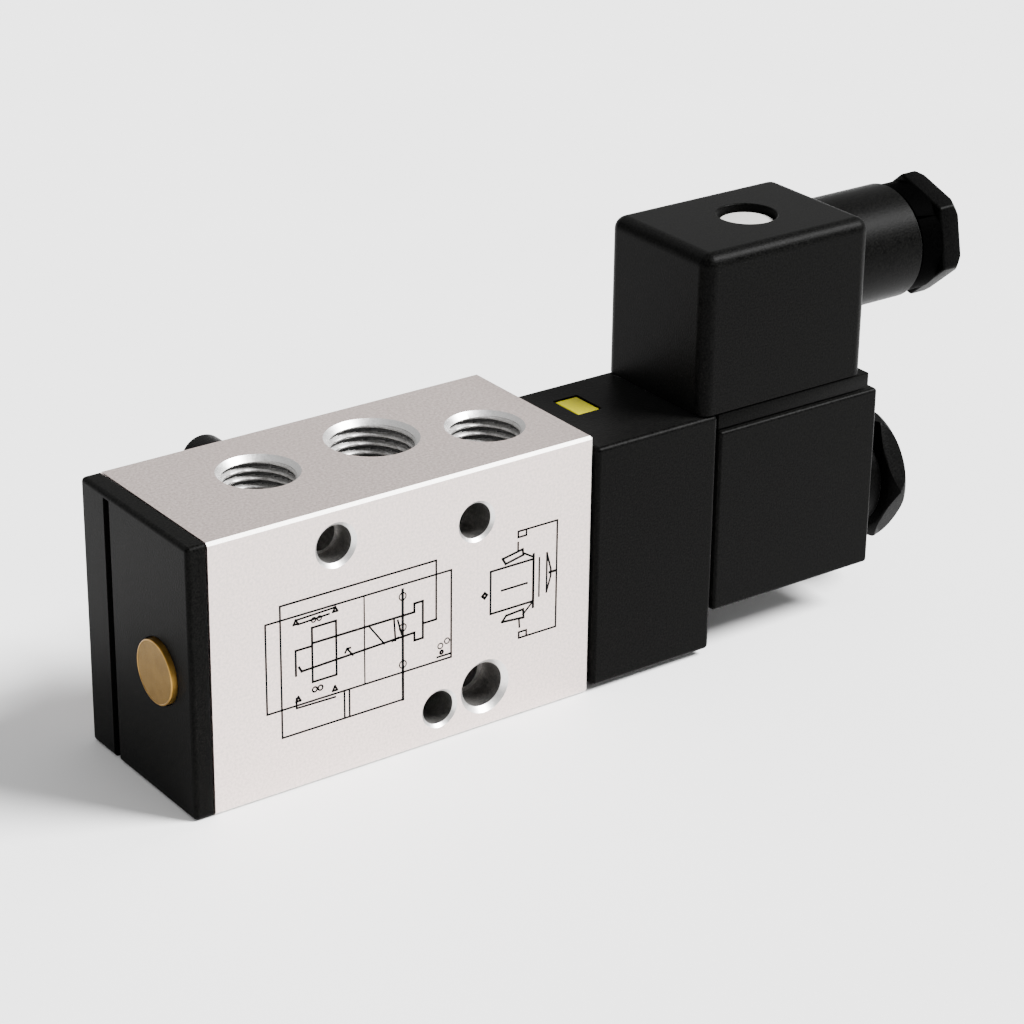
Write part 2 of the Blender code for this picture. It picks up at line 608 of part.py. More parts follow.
def build_coil_inside():
    """The bobbin, the winding and the steel frame that carries the field round them."""
    line = (0, COIL_Y, COIL_Z)
    left, right = 56.8, 78.5
    bore = TUBE_R + 0.35
    sleeve = bore + 0.6
    outline = [(bore, right), (7.4, right), (7.4, right - 1), (sleeve, right - 1), (sleeve, left + 1)]
    outline += [(7.4, left + 1), (7.4, left), (bore, left)]
    turned("coil_bobbin", outline, line, (1, 0, 0), "grey_plastic", 24, ring=True)
    tube("coil_winding", 7.2, sleeve + GAP, left + 1 + GAP, right - 1 - GAP, line, (1, 0, 0), "copper", 24)
    frame = box("magnet_frame", (55.0, 80.3), (-10.0, 3.0), (9.1, 26.7), "steel")
    inside_y = (-10.0 - OVERRUN, 3.0 + OVERRUN)
    inside = box("frame_inside_cutter", (56.5, 78.8), inside_y, (9.1 - OVERRUN, 25.2))
    cut(frame, inside, rod("frame_bore_cutter", bore, 54.0, 82.0, line, (1, 0, 0)))


def blade_box(name, x, y, across, extra, z, look=None):
    """A blade, or with extra width the slot that it stands in."""
    thin, wide = BLADE[0] / 2 + extra, BLADE[1] / 2 + extra
    half_x, half_y = (thin, wide) if across else (wide, thin)
    return box(name, (x - half_x, x + half_x), (y - half_y, y + half_y), z, look)


def blade_slots(owner, z):
    """Cutters for the slots that the three blades pass through."""
    return [blade_box(f"{name}_{owner}_cutter", x, y, across, GAP, z) for name, x, y, across in BLADES]


def plug_screw_hole(owner, z):
    centre = (PLUG_SCREW_X, PLUG_SCREW_Y, 0)
    return rod(f"plug_screw_{owner}_cutter", SCREW_R + GAP, *z, centre, (0, 0, 1), steps=12)


def build_coil_housing():
    coil = box("coil_housing", COIL_X, COIL_BOX_Y, COIL_BOX_Z, "black_plastic")
    bevel(coil, COIL_BEVEL, 2)
    bore = rod("coil_bore_cutter", TUBE_R + 0.35, 50.0, 85.0, (0, COIL_Y, COIL_Z), (1, 0, 0))
    inside = box("coil_inside_cutter", (54.7, 80.6), (-12.8, 5.8), (8.8, 27.0))
    top = (31.6, COIL_BOX_Z[1] + OVERRUN)
    cut(coil, bore, inside, *blade_slots("coil", top), plug_screw_hole("coil", top))


def build_blades():
    for name, x, y, across in BLADES:
        blade_box(name, x, y, across, 0.0, BLADE_Z, "steel")


def build_coil_nut():
    """The hexagon nut that holds the coil, with both faces chamfered, and its round washer."""
    line = (0, COIL_Y, COIL_Z)
    left, right = COIL_NUT_X
    washer_x = (COIL_X[1] + GAP, left - GAP)
    tube("coil_washer", COIL_WASHER_R, 3.3, *washer_x, line, (1, 0, 0), "black_plastic")
    corner = COIL_NUT_CORNER_R
    outline = [(0, right), (corner, right), (corner, left), (0, left)]
    nut = turned("coil_nut", outline, line, (1, 0, 0), "black_plastic", 6, spin=COIL_NUT_SPIN)
    outline = [(0, right), (corner - 2.4, right), (corner - 0.6, right - 1.0), (corner + 0.1, right - 2.2)]
    outline += [(corner + 0.1, left + 1.2), (corner - 1.8, left), (0, left)]
    combine(nut, "INTERSECT", [turned("nut_chamfer", outline, line, (1, 0, 0), steps=24)])
    cut(nut, rod("nut_thread_cutter", 3.2, left - OVERRUN, 91.5, line, (1, 0, 0), steps=16))


# Plug connector


def build_plug_gasket():
    gasket_z = (COIL_BOX_Z[1] + GAP, PLUG_Z[0] - GAP)
    gasket = box("plug_gasket", (53.1, 81.6), (-14.3, 7.3), gasket_z, "rubber")
    bevel(gasket, 0.3)
    z = (COIL_BOX_Z[1] - OVERRUN, PLUG_Z[0] + OVERRUN)
    cut(gasket, *blade_slots("gasket", z), plug_screw_hole("gasket", z))


def build_plug_housing():
    """The connector's shell: open below, with a boss for its screw and a tube for the gland."""
    low = PLUG_Z[0]
    shell = box("plug_housing", PLUG_X, PLUG_Y, (low - 2 * PLUG_ROUND, PLUG_Z[1]), "black_plastic")
    bevel(shell, PLUG_ROUND, 3)
    cut(shell, box("plug_bottom_cutter", (40.0, 90.0), (-20.0, 20.0), (low - 10.0, low)))
    inside_x = (PLUG_X[0] + PLUG_WALL, PLUG_X[1] - PLUG_WALL)
    inside_y = (PLUG_Y[0] + PLUG_WALL, PLUG_Y[1] - PLUG_WALL)
    ceiling = PLUG_Z[1] - 2.7
    cut(shell, box("plug_inside_cutter", inside_x, inside_y, (PLUG_Z[0] - OVERRUN, ceiling)))
    line = (0, COIL_Y, GLAND_Z)
    screw_line = (PLUG_SCREW_X, PLUG_SCREW_Y, 0)
    boss = rod("screw_boss", 6.0, 52.0, ceiling + 1, screw_line, (0, 0, 1))
    neck = rod("gland_tube", GLAND_R, PLUG_X[1] - 1, GLAND_END, line, (1, 0, 0), steps=28)
    join(shell, boss, neck)
    outline = [(0, GLAND_END + OVERRUN), (GLAND_BORE_R, GLAND_END + OVERRUN), (GLAND_BORE_R, 81.7)]
    outline += [(5.5, 81.7), (5.5, inside_x[1] - 1), (0, inside_x[1] - 1)]
    bore = turned("gland_bore_cutter", outline, line, (1, 0, 0), steps=24)
    stages = [(PLUG_Z[1] - 55.0, RECESS_R), (PLUG_Z[1] - 51.0, SCREW_R + GAP)]
    recess = hole("screw_recess", (PLUG_SCREW_X, PLUG_SCREW_Y, PLUG_Z[1]), (0, 0, 1), stages, steps=24)
    cut(shell, bore, recess)


def build_terminal_block():
    block = box("terminal_block", (53.0, 76.5), (-11.5, 4.5), (PLUG_Z[0] + GAP, 48.0), "grey_plastic")
    z = (PLUG_Z[0] - OVERRUN, 48.0 + OVERRUN)
    slot_z = (PLUG_Z[0] - OVERRUN, BLADE_Z[1] + GAP)
    cut(block, *blade_slots("block", slot_z), plug_screw_hole("block", z))
    for number, (x, y) in enumerate(CLAMP_SCREWS, 1):
        cut(block, rod(f"clamp_hole_{number}_cutter", 1.7, 42.0, 49.0, (x, y, 0), (0, 0, 1), steps=10))
        outline = [(0, 50.0), (2.3, 50.0), (2.3, 48.3), (1.4, 48.3), (1.4, 42.5), (0, 42.5)]
        screw = turned(f"clamp_screw_{number}", outline, (x, y, 0), (0, 0, 1), "steel", 12)
        cut(screw, box(f"clamp_slot_{number}_cutter", (x - 3, x + 3), (y - 0.35, y + 0.35), (49.2, 51.0)))


def build_plug_screw():
    """The long screw that holds the connector on the coil, and the cap over its head."""
    line = (PLUG_SCREW_X, PLUG_SCREW_Y, 0)
    outline = [(0, 57.6), (2.8, 57.6), (2.8, 55.3), (SCREW_R, 55.3), (SCREW_R, 32.2), (0, 32.2)]
    screw = turned("plug_screw", outline, line, (0, 0, 1), "steel", 12)
    slot_y = (PLUG_SCREW_Y - 0.4, PLUG_SCREW_Y + 0.4)
    cut(screw, box("plug_screw_slot_cutter", (PLUG_SCREW_X - 4, PLUG_SCREW_X + 4), slot_y, (56.7, 59.0)))
    top = PLUG_Z[1] - 1.0
    edge = RECESS_R - 0.3
    outline = [(0, top), (edge - 0.2, top), (edge, top - 0.2), (edge, 58.2), (0, 58.2)]
    turned("screw_cover", outline, line, (0, 0, 1), "white_plastic", 24)


def build_gland():
    """The cable gland's rubber ring, its washer and the hollow nut that squeezes them."""
    line = (0, COIL_Y, GLAND_Z)
    tube("gland_seal", GLAND_BORE_R - GAP, 3.3, 82.0, 87.0, line, (1, 0, 0), "rubber")
    tube("gland_washer", GLAND_BORE_R - GAP, 3.7, 87.3, 88.1, line, (1, 0, 0), "steel")
    collar = GLAND_END + GAP
    hex_left, hex_right = 97.3, GLAND_NUT_END
    corner = GLAND_HEX_R
    outline = [(0, hex_right), (corner - 0.9, hex_right), (corner, hex_right - 0.8)]
    outline += [(corner, hex_left + 0.3), (corner - 0.3, hex_left), (0, hex_left)]
    nut = turned("gland_nut", outline, line, (1, 0, 0), "black_plastic", 6, spin=GLAND_HEX_SPIN)
    sleeve = [(0, hex_left + 1), (7.9, hex_left + 1), (GLAND_R, hex_left - 0.6), (GLAND_R, collar)]
    sleeve += [(GLAND_BORE_R - GAP, collar), (GLAND_BORE_R - GAP, 88.4), (0, 88.4)]
    join(nut, turned("gland_sleeve", sleeve, line, (1, 0, 0), steps=24))
    outline = [(0, hex_right + OVERRUN), (6.0 + OVERRUN, hex_right + OVERRUN), (5.0, hex_right)]
    outline += [(4.5, hex_right - 1.5), (4.5, 87.5), (0, 87.5)]
    cut(nut, turned("gland_nut_bore_cutter", outline, line, (1, 0, 0), steps=24))


def main():
    for old in list(bpy.data.objects):
        bpy.data.objects.remove(old)
    build_valve_body()
    build_end_cap()
    build_cap_gasket()
    build_spring_seat()
    build_flange_pieces()
    build_spool()
    build_pilot_piston()
    build_brass_pin()
    build_return_spring()
    build_pilot_block()
    build_pilot_gasket()
    build_pilot_screws()
    build_override()
    build_nozzle()
    build_armature_tube()
    build_fixed_core()
    build_armature()
    build_coil_inside()
    build_coil_housing()
    build_blades()
    build_coil_nut()
    build_plug_gasket()
    build_plug_housing()
    build_terminal_block()
    build_plug_screw()
    build_gland()


PIECES = collection("solenoid_directional_valve")
CUTTERS = collection("cutters")
main()
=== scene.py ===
"""The looks of the solenoid valve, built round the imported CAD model.

Sizes are in millimetres in the valve's own frame, and the helpers turn them into metres.
"""

import json
import math

import bmesh
import bpy
from mathutils import Euler, Matrix, Quaternion, Vector


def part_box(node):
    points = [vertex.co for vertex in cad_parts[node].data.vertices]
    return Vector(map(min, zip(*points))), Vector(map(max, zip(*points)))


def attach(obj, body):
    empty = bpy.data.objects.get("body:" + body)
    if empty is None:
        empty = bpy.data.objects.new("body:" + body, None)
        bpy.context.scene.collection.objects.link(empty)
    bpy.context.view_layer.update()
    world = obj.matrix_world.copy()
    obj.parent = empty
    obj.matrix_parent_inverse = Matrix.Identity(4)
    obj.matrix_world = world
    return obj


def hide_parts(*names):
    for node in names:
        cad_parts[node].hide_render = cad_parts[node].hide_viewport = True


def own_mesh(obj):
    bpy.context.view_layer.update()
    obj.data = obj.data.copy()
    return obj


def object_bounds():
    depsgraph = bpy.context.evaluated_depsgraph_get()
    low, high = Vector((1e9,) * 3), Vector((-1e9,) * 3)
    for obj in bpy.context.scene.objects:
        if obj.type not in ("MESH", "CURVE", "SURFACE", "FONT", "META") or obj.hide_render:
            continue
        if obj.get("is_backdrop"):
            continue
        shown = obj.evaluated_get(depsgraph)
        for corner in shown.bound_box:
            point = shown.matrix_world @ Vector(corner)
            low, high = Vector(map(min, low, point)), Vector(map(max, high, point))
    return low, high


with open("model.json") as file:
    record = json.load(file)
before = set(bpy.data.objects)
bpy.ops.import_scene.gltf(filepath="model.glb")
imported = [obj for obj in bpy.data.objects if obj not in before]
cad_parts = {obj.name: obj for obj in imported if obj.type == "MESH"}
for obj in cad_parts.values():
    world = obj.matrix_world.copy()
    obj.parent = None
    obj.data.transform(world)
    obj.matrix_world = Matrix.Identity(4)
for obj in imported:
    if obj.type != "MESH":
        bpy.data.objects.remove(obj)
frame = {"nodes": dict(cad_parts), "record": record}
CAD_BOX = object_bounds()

MM = 0.001
OVERRUN = 1.0  # how far a cutter stands outside the face it cuts
GAP = 0.3  # between pieces that meet end to end
CHAMFER_TIP = 0.4  # how far a chamfer's cone goes on inside its hole
THREAD_RISE = 0.3  # how far above the foot of its chamfer a port's thread begins
RIDGE_END, FLANK_END, ROOT_END = 0.2, 0.45, 0.8  # the parts of one thread pitch
BAND_PERIOD = 0.314  # of a wave texture at a scale of 1
RENDERED = bpy.context.scene.collection

X = (1, 0, 0)
Y = (0, 1, 0)
Z = (0, 0, 1)


def span(node):
    """A CAD node's (low, high) along x, y and z, in millimetres."""
    low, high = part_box(node)
    return [(a / MM, b / MM) for a, b in zip(low, high)]


BODY_X, BODY_Y, BODY_Z = span("valve_body")
CAP_X, CAP_Y, CAP_Z = span("end_cap")
CAP_RIGHT = BODY_X[0] - GAP  # without the pegs
BLOCK_X, BLOCK_Y, BLOCK_Z = span("pilot_block")
COIL_X, COIL_Y_SPAN, COIL_Z_SPAN = span("coil_housing")
PLUG_X, PLUG_Y, PLUG_Z = span("plug_housing")
GASKET_X, GASKET_Y, GASKET_Z = span("plug_gasket")

# Centre lines along x: the spool's and the coil's. The gland's lies straight above the coil's.
SPOOL_Y = -5.7
SPOOL_Z = 19.1
COIL_Y = -3.5
COIL_Z = 16.75
GLAND_Z = 53.2

# Valve body
EDGE_CHAMFER = 0.42
BORE_R = 5.0
CHAMBER_R = 6.0
CHAMBER_HALF = 2.0
CHAMBERS = (-11.3, -1.1, 5.4, 11.9, 18.6)
PISTON_BORE_R = 6.8
PISTON_BORE_LEFT = 25.7
OUTLET_X = (-3.4, 14.2)
OUTLET_CHAMBERS = (CHAMBERS[1], CHAMBERS[3])
OUTLET_STAGES = ((1.4, 7.1), (10.0, 4.2))  # depth and radius: the O-ring's seat, then the outlet
SEAL_R = 5.9
SEAL_WIRE_R = 0.8
SEAL_Y = 13.65
STUD_X = -11.0
STUD_Z = 34.4
SUPPLY_Y = 5.4  # the air channel from the body to the pilot block
SUPPLY_Z = 31.0

# Threaded ports in the top: x, y, core radius, thread radius, pitch, chamfer radius, depth, and the
# drilling below it: x, y and radius.
TOP_PORTS = {
    "left": (-13.6, 1.9, 5.05, 5.65, 1.25, 5.85, 10.0, (-11.4, 0.8, 1.7)),
    "middle": (5.4, 3.0, 5.95, 6.58, 1.337, 6.75, 10.5, (5.4, -0.1, 1.95)),
    "right": (20.6, -2.5, 4.95, 5.55, 1.25, 5.7, 10.0, (18.6, -3.9, 1.7)),
}
# Holes in the front: x, z, the (depth, radius) stages and the chamfer's radius.
FRONT_HOLES = (
    (-11.5, 34.6, ((4.0, 2.75), (8.5, 2.3)), 3.3),
    (11.2, 32.1, ((8.5, 2.6),), 3.05),
    (12.75, 6.4, ((5.5, 3.35), (29.0, 2.6)), 4.1),
    (5.1, 5.2, ((29.0, 2.5),), 2.95),
)

# End cap
PEG_PLACES = ((-10.5, 5), (-10.5, 35), (10.5, 5), (10.5, 35))  # y, z
PIN_R = 4.6
PIN_HOLE_R = 4.85
CAP_POCKET_DEPTH = 0.9

# Pilot block
PILOT_SCREWS = ((4.2, 10.5), (-10.3, 33.5))  # y, z
SCREW_HOLE_R = 1.8
SCREW_HEAD_R = 2.85
SCREW_HEAD_DEPTH = 3.4
OVERRIDE = (38.55, -0.1)  # x, y
BUTTON_HALF = (1.9, 2.75)
WINDOW_HALF = (2.2, 3.05)
WINDOW_BOTTOM = 31.0

# Coil
COIL_BORE_R = 4.85
WALL_TOP = (31.6, 37.0)  # a span in z through the coil's top wall
NUT_CORNER = 11.0

# Plug
PLUG_RIGHT = 80.2  # the box's right face, without the gland's tube
PLUG_WALL = 2.0
PLUG_ROOF = 2.7
PLUG_SCREW = (66.3, -3.0)  # x, y
RECESS_R = 4.4
GLAND_R = 8.6
GLAND_HEX_LEFT = 97.3
GLAND_CORNER = 9.3
GLAND_SPIN = -11.0

# Spans in y and z that reach past the whole valve, for cutters that end a piece flat
PAST_Y = (-30, 30)
PAST_Z = (-10, 60)


# Materials


def new_material(name):
    """A material, its node tree and its Principled shader."""
    made = bpy.data.materials.new(name)
    made.use_nodes = True
    tree = made.node_tree
    return made, tree, tree.nodes["Principled BSDF"]


def link(tree, source, target):
    tree.links.new(source, target)


def coordinates(tree):
    return tree.nodes.new("ShaderNodeTexCoord").outputs["Object"]


def noise(tree, grain_mm, detail=2.0, roughness=0.5):
    """Noise whose grains measure about grain_mm."""
    node = tree.nodes.new("ShaderNodeTexNoise")
    node.inputs["Scale"].default_value = 1 / (grain_mm * MM)
    node.inputs["Detail"].default_value = detail
    node.inputs["Roughness"].default_value = roughness
    link(tree, coordinates(tree), node.inputs["Vector"])
    return node.outputs["Fac"]


def bands(tree, period_mm, distortion=0.0):
    """Marks across x, period_mm apart."""
    node = tree.nodes.new("ShaderNodeTexWave")
    node.wave_type = "BANDS"
    node.bands_direction = "X"
    node.inputs["Scale"].default_value = BAND_PERIOD / (period_mm * MM)
    node.inputs["Distortion"].default_value = distortion
    node.inputs["Detail"].default_value = 2.0
    link(tree, coordinates(tree), node.inputs["Vector"])
    return node.outputs["Fac"]


def ramp(tree, source, low, high, start=0.3, end=0.7):
    """The source stretched from start..end to low..high; colours or numbers."""
    node = tree.nodes.new("ShaderNodeMapRange")
    if isinstance(low, tuple):
        node.data_type = "FLOAT_VECTOR"
        names = ("From_Min_FLOAT3", "From_Max_FLOAT3", "To_Min_FLOAT3", "To_Max_FLOAT3")
        values = ((start,) * 3, (end,) * 3, low, high)
        for identifier, value in zip(names, values):
            next(s for s in node.inputs if s.identifier == identifier).default_value = value
        link(tree, source, node.inputs["Vector"])
        return node.outputs["Vector"]
    node.inputs["From Min"].default_value = start
    node.inputs["From Max"].default_value = end
    node.inputs["To Min"].default_value = low
    node.inputs["To Max"].default_value = high
    link(tree, source, node.inputs["Value"])
    return node.outputs["Result"]


def bump(tree, shader, *layers):
    """Bump from (height source, strength, depth in mm) layers, one on top of the other."""
    normal = None
    for source, strength, depth_mm in layers:
        node = tree.nodes.new("ShaderNodeBump")
        node.inputs["Strength"].default_value = strength
        node.inputs["Distance"].default_value = depth_mm * MM
        link(tree, source, node.inputs["Height"])
        if normal:
            link(tree, normal, node.inputs["Normal"])
        normal = node.outputs["Normal"]
    link(tree, normal, shader.inputs["Normal"])


def blasted_aluminium():
    """Bead-blasted and clear-anodised aluminium: even grain, slightly warm."""
    made, tree, shader = new_material("blasted_aluminium")
    shader.inputs["Metallic"].default_value = 1.0
    grain = noise(tree, 0.4, 3.0, 0.7)
    colour = ramp(tree, grain, (0.65, 0.56, 0.525), (0.82, 0.705, 0.665), 0.38, 0.62)
    link(tree, colour, shader.inputs["Base Color"])
    link(tree, ramp(tree, grain, 0.4, 0.5), shader.inputs["Roughness"])
    bump(tree, shader, (grain, 0.5, 0.04))
    return made


def cut_aluminium():
    """Freshly cut aluminium of the chamfers: brighter than the blasted faces."""
    made, tree, shader = new_material("cut_aluminium")
    shader.inputs["Metallic"].default_value = 1.0
    grain = noise(tree, 0.25, 3.0, 0.6)
    link(tree, ramp(tree, grain, (0.6, 0.59, 0.58), (0.74, 0.73, 0.72)), shader.inputs["Base Color"])
    link(tree, ramp(tree, grain, 0.35, 0.45), shader.inputs["Roughness"])
    bump(tree, shader, (grain, 0.3, 0.02))
    return made


def dull_aluminium(name, dark, light, roughness, metallic=1.0, depth_mm=0.01):
    """Aluminium that shines less than the chamfers: hole walls, threads and the block's edges. The dark
    tones of the hole walls and threads are painted shade.
    """
    made, tree, shader = new_material(name)
    shader.inputs["Metallic"].default_value = metallic
    grain = noise(tree, 0.3, 3.0, 0.65)
    link(tree, ramp(tree, grain, dark, light, 0.38, 0.62), shader.inputs["Base Color"])
    link(tree, ramp(tree, grain, *roughness), shader.inputs["Roughness"])
    bump(tree, shader, (grain, 0.4, depth_mm))
    return made


def grained_plastic(name, dark, light, roughness, shine, sheen=0.0, grain_mm=0.26, relief=(1.0, 0.03)):
    """Moulded plastic with a fine spark-eroded grain; the relief is its strength and its depth in mm."""
    made, tree, shader = new_material(name)
    shader.inputs["Specular IOR Level"].default_value = shine
    shader.inputs["Sheen Weight"].default_value = sheen
    shader.inputs["Sheen Roughness"].default_value = 0.35
    grain = noise(tree, grain_mm, 2.0, 0.55)
    link(tree, ramp(tree, grain, dark, light, 0.35, 0.65), shader.inputs["Base Color"])
    link(tree, ramp(tree, grain, *roughness), shader.inputs["Roughness"])
    bump(tree, shader, (grain, *relief))
    return made


def turned_metal(name, dark, light, roughness):
    """Turned metal with fine marks across x."""
    made, tree, shader = new_material(name)
    shader.inputs["Metallic"].default_value = 1.0
    marks = bands(tree, 0.12, 1.5)
    grain = noise(tree, 0.4, 3.0, 0.6)
    link(tree, ramp(tree, grain, dark, light), shader.inputs["Base Color"])
    link(tree, ramp(tree, grain, *roughness), shader.inputs["Roughness"])
    bump(tree, shader, (marks, 0.12, 0.01), (grain, 0.15, 0.01))
    return made


def satin_brass(name, dark, light, roughness):
    """Turned and lightly tarnished brass."""
    made, tree, shader = new_material(name)
    shader.inputs["Metallic"].default_value = 0.9
    grain = noise(tree, 0.18, 3.0, 0.6)
    stain = noise(tree, 2.2, 4.0, 0.6)
    link(tree, ramp(tree, stain, dark, light), shader.inputs["Base Color"])
    link(tree, ramp(tree, grain, *roughness), shader.inputs["Roughness"])
    bump(tree, shader, (grain, 0.3, 0.02))
    return made


def rubber():
    """Matt black rubber of the seals."""
    made, tree, shader = new_material("black_rubber")
    grain = noise(tree, 0.3, 3.0, 0.6)
    link(tree, ramp(tree, grain, (0.014, 0.014, 0.014), (0.026, 0.026, 0.026)), shader.inputs["Base Color"])
    link(tree, ramp(tree, grain, 0.6, 0.8), shader.inputs["Roughness"])
    bump(tree, shader, (grain, 0.4, 0.03))
    return made


def enamelled_wire():
    """Copper winding: fine ridges round the bobbin, with a glossy enamel."""
    made, tree, shader = new_material("enamelled_wire")
    shader.inputs["Metallic"].default_value = 0.9
    ridges = bands(tree, 0.2)
    # The colour follows the ridges and is darker in the grooves between turns: painted shade.
    link(tree, ramp(tree, ridges, (0.42, 0.14, 0.05), (0.78, 0.33, 0.14)), shader.inputs["Base Color"])
    link(tree, ramp(tree, ridges, 0.35, 0.22), shader.inputs["Roughness"])
    bump(tree, shader, (ridges, 0.8, 0.1))
    return made


def ink():
    """Thin black print: it takes the grain of the metal under it."""
    made, tree, shader = new_material("black_print")
    shader.inputs["Specular IOR Level"].default_value = 0.03
    grain = noise(tree, 0.16, 3.0, 0.6)
    link(tree, ramp(tree, grain, (0.002, 0.002, 0.002), (0.006, 0.006, 0.006)), shader.inputs["Base Color"])
    link(tree, ramp(tree, grain, 0.5, 0.65), shader.inputs["Roughness"])
    bump(tree, shader, (grain, 0.3, 0.01))
    return made


def pale_floor():
    """The studio's near-white floor, with very faint clouds."""
    made, tree, shader = new_material("pale_floor")
    cloud = noise(tree, 60.0, 2.0)
    link(tree, ramp(tree, cloud, (0.86, 0.86, 0.86), (0.88, 0.88, 0.88)), shader.inputs["Base Color"])
    shader.inputs["Roughness"].default_value = 0.9
    shader.inputs["Specular IOR Level"].default_value = 0.1
    return made


ALUMINIUM = blasted_aluminium()
CUT = cut_aluminium()
# Hole walls darkened well below the block's aluminium: painted shade inside the holes.
BORE_PAINTED_SHADE = dull_aluminium("drilled_aluminium_painted_shade", (0.22, 0.215, 0.21), (0.32, 0.31, 0.30), (0.4, 0.5))
EDGE = dull_aluminium("rounded_aluminium", (0.6, 0.58, 0.56), (0.9, 0.88, 0.86), (0.55, 0.68), 1.0, 0.08)
# Thread flank and root are lit and shaded copies of one aluminium. The flank is darker than the block's
# aluminium, painted shade inside the port, and the near-black root is painted shade.
THREAD = dull_aluminium("thread_flank", (0.42, 0.41, 0.4), (0.58, 0.57, 0.56), (0.4, 0.5), 0.8)
ROOT_PAINTED_SHADE = dull_aluminium("thread_root_painted_shade", (0.05, 0.05, 0.05), (0.09, 0.09, 0.09), (0.5, 0.6), 0.6)
BLACK = grained_plastic(
    "black_plastic", (0.0001, 0.0001, 0.0001), (0.0028, 0.0028, 0.0026), (0.36, 0.46), 0.022, 0.055
)
NUT_BLACK = grained_plastic(
    "nut_plastic", (0.0002, 0.0002, 0.0002), (0.0016, 0.0016, 0.0015), (0.36, 0.44), 0.02, 0.025
)
# Near-black plastic for the gland's collar: painted shade between the tube's end and the hexagon.
COLLAR_PAINTED_SHADE = grained_plastic(
    "collar_plastic_painted_shade", (0.0001, 0.0001, 0.0001), (0.0006, 0.0006, 0.0006), (0.5, 0.6), 0.002
)
CAP_BLACK = grained_plastic(
    "cap_plastic", (0.0002, 0.0002, 0.0002), (0.0034, 0.0034, 0.0031), (0.38, 0.48), 0.02, 0.045
)
WHITE = grained_plastic(
    "white_plastic", (0.42, 0.415, 0.4), (0.47, 0.46, 0.445), (0.4, 0.5), 0.2,
    grain_mm=0.3, relief=(0.3, 0.01),
)
YELLOW = grained_plastic(
    "yellow_plastic", (0.5, 0.45, 0.0), (0.56, 0.51, 0.0), (0.4, 0.5), 0.1,
    grain_mm=0.3, relief=(0.4, 0.01),
)
GREY = grained_plastic("insert_plastic", (0.16, 0.16, 0.16), (0.2, 0.2, 0.2), (0.5, 0.6), 0.4)
RUBBER = rubber()
BRASS = satin_brass("brass_face", (0.12, 0.068, 0.012), (0.165, 0.095, 0.02), (0.45, 0.55))
BRASS_EDGE = satin_brass("brass_edge", (0.2, 0.11, 0.02), (0.34, 0.19, 0.04), (0.3, 0.4))
STEEL = turned_metal("turned_steel", (0.5, 0.5, 0.51), (0.6, 0.6, 0.6), (0.25, 0.38))
# Near-black steel for the spring seat behind the brass disc: painted shade of the pocket seen round the
# disc.
SEAT_PAINTED_SHADE = turned_metal("seat_steel_painted_shade", (0.03, 0.03, 0.03), (0.05, 0.05, 0.05), (0.4, 0.5))
SPOOL_METAL = turned_metal("turned_aluminium", (0.72, 0.72, 0.73), (0.8, 0.8, 0.8), (0.25, 0.35))
COPPER = enamelled_wire()
INK = ink()


# Shapes


def new_object(name, mesh, material=None):
    obj = bpy.data.objects.new(name, mesh)
    RENDERED.objects.link(obj)
    if material:
        mesh.materials.append(material)
    return obj


def box(name, x, y, z, material=None):
    """A box between the two values given along each axis."""
    spans = (x, y, z)
    form = bmesh.new()
    bmesh.ops.create_cube(form, size=1.0)
    bmesh.ops.scale(form, vec=[(high - low) * MM for low, high in spans], verts=form.verts)
    mesh = bpy.data.meshes.new(name)
    form.to_mesh(mesh)
    form.free()
    obj = new_object(name, mesh, material)
    obj.location = [(low + high) / 2 * MM for low, high in spans]
    return obj


def turned(name, outline, centre, direction, material=None, steps=96, ring=False, spin=0.0):
    """A turned shape from (radius, height) points that run from the top down the outer side.

    A ring's outline is closed on itself. Spin turns the piece about its own axis, in degrees.
    """
    mesh = bpy.data.meshes.new(name)
    links = [(i, i + 1) for i in range(len(outline) - 1)]
    if ring:
        links.append((len(outline) - 1, 0))
    mesh.from_pydata([(radius * MM, 0.0, height * MM) for radius, height in outline], links, [])
    obj = new_object(name, mesh, material)
    obj.location = Vector(centre) * MM
    obj.rotation_mode = "QUATERNION"
    own_turn = Quaternion(Z, math.radians(spin))
    obj.rotation_quaternion = Vector(Z).rotation_difference(Vector(direction)) @ own_turn
    screw = obj.modifiers.new("turn", "SCREW")
    screw.axis = "Z"
    screw.angle = math.tau
    screw.steps = steps
    screw.render_steps = steps
    screw.use_merge_vertices = True
    screw.merge_threshold = 0.000001
    return obj


def rod(name, radius, low, high, centre, direction, material=None, steps=64):
    outline = [(0, high), (radius, high), (radius, low), (0, low)]
    return turned(name, outline, centre, direction, material, steps)


def hexagon(name, corner, low, high, centre, spin):
    """A hexagonal bar along X."""
    outline = [(0, high), (corner, high), (corner, low), (0, low)]
    return turned(name, outline, centre, X, NUT_BLACK, 6, False, spin)


def arc(centre, radius, start, end, count):
    """Points on an arc of an outline, with angles in degrees from the radial direction."""
    points = []
    for i in range(count + 1):
        angle = math.radians(start + (end - start) * i / count)
        points.append((centre[0] + radius * math.cos(angle), centre[1] + radius * math.sin(angle)))
    return points


def hole(name, mouth, outward, stages, chamfer=None, steps=64):
    """Cutters for a stepped round hole of (depth, radius) stages, and for its bright chamfer."""
    outline = [(0, OVERRUN), (stages[0][1], OVERRUN)]
    for (depth, radius), following in zip(stages, [*stages[1:], None]):
        outline.append((radius, -depth))
        outline.append((following[1] if following else 0, -depth))
    # The hole's walls take the darkened aluminium: painted shade.
    cutters = [turned(name, outline, mouth, outward, BORE_PAINTED_SHADE, steps)]
    if chamfer:
        cutters.append(chamfer_cutter(name, mouth, outward, stages[0][1], chamfer, steps))
    return cutters


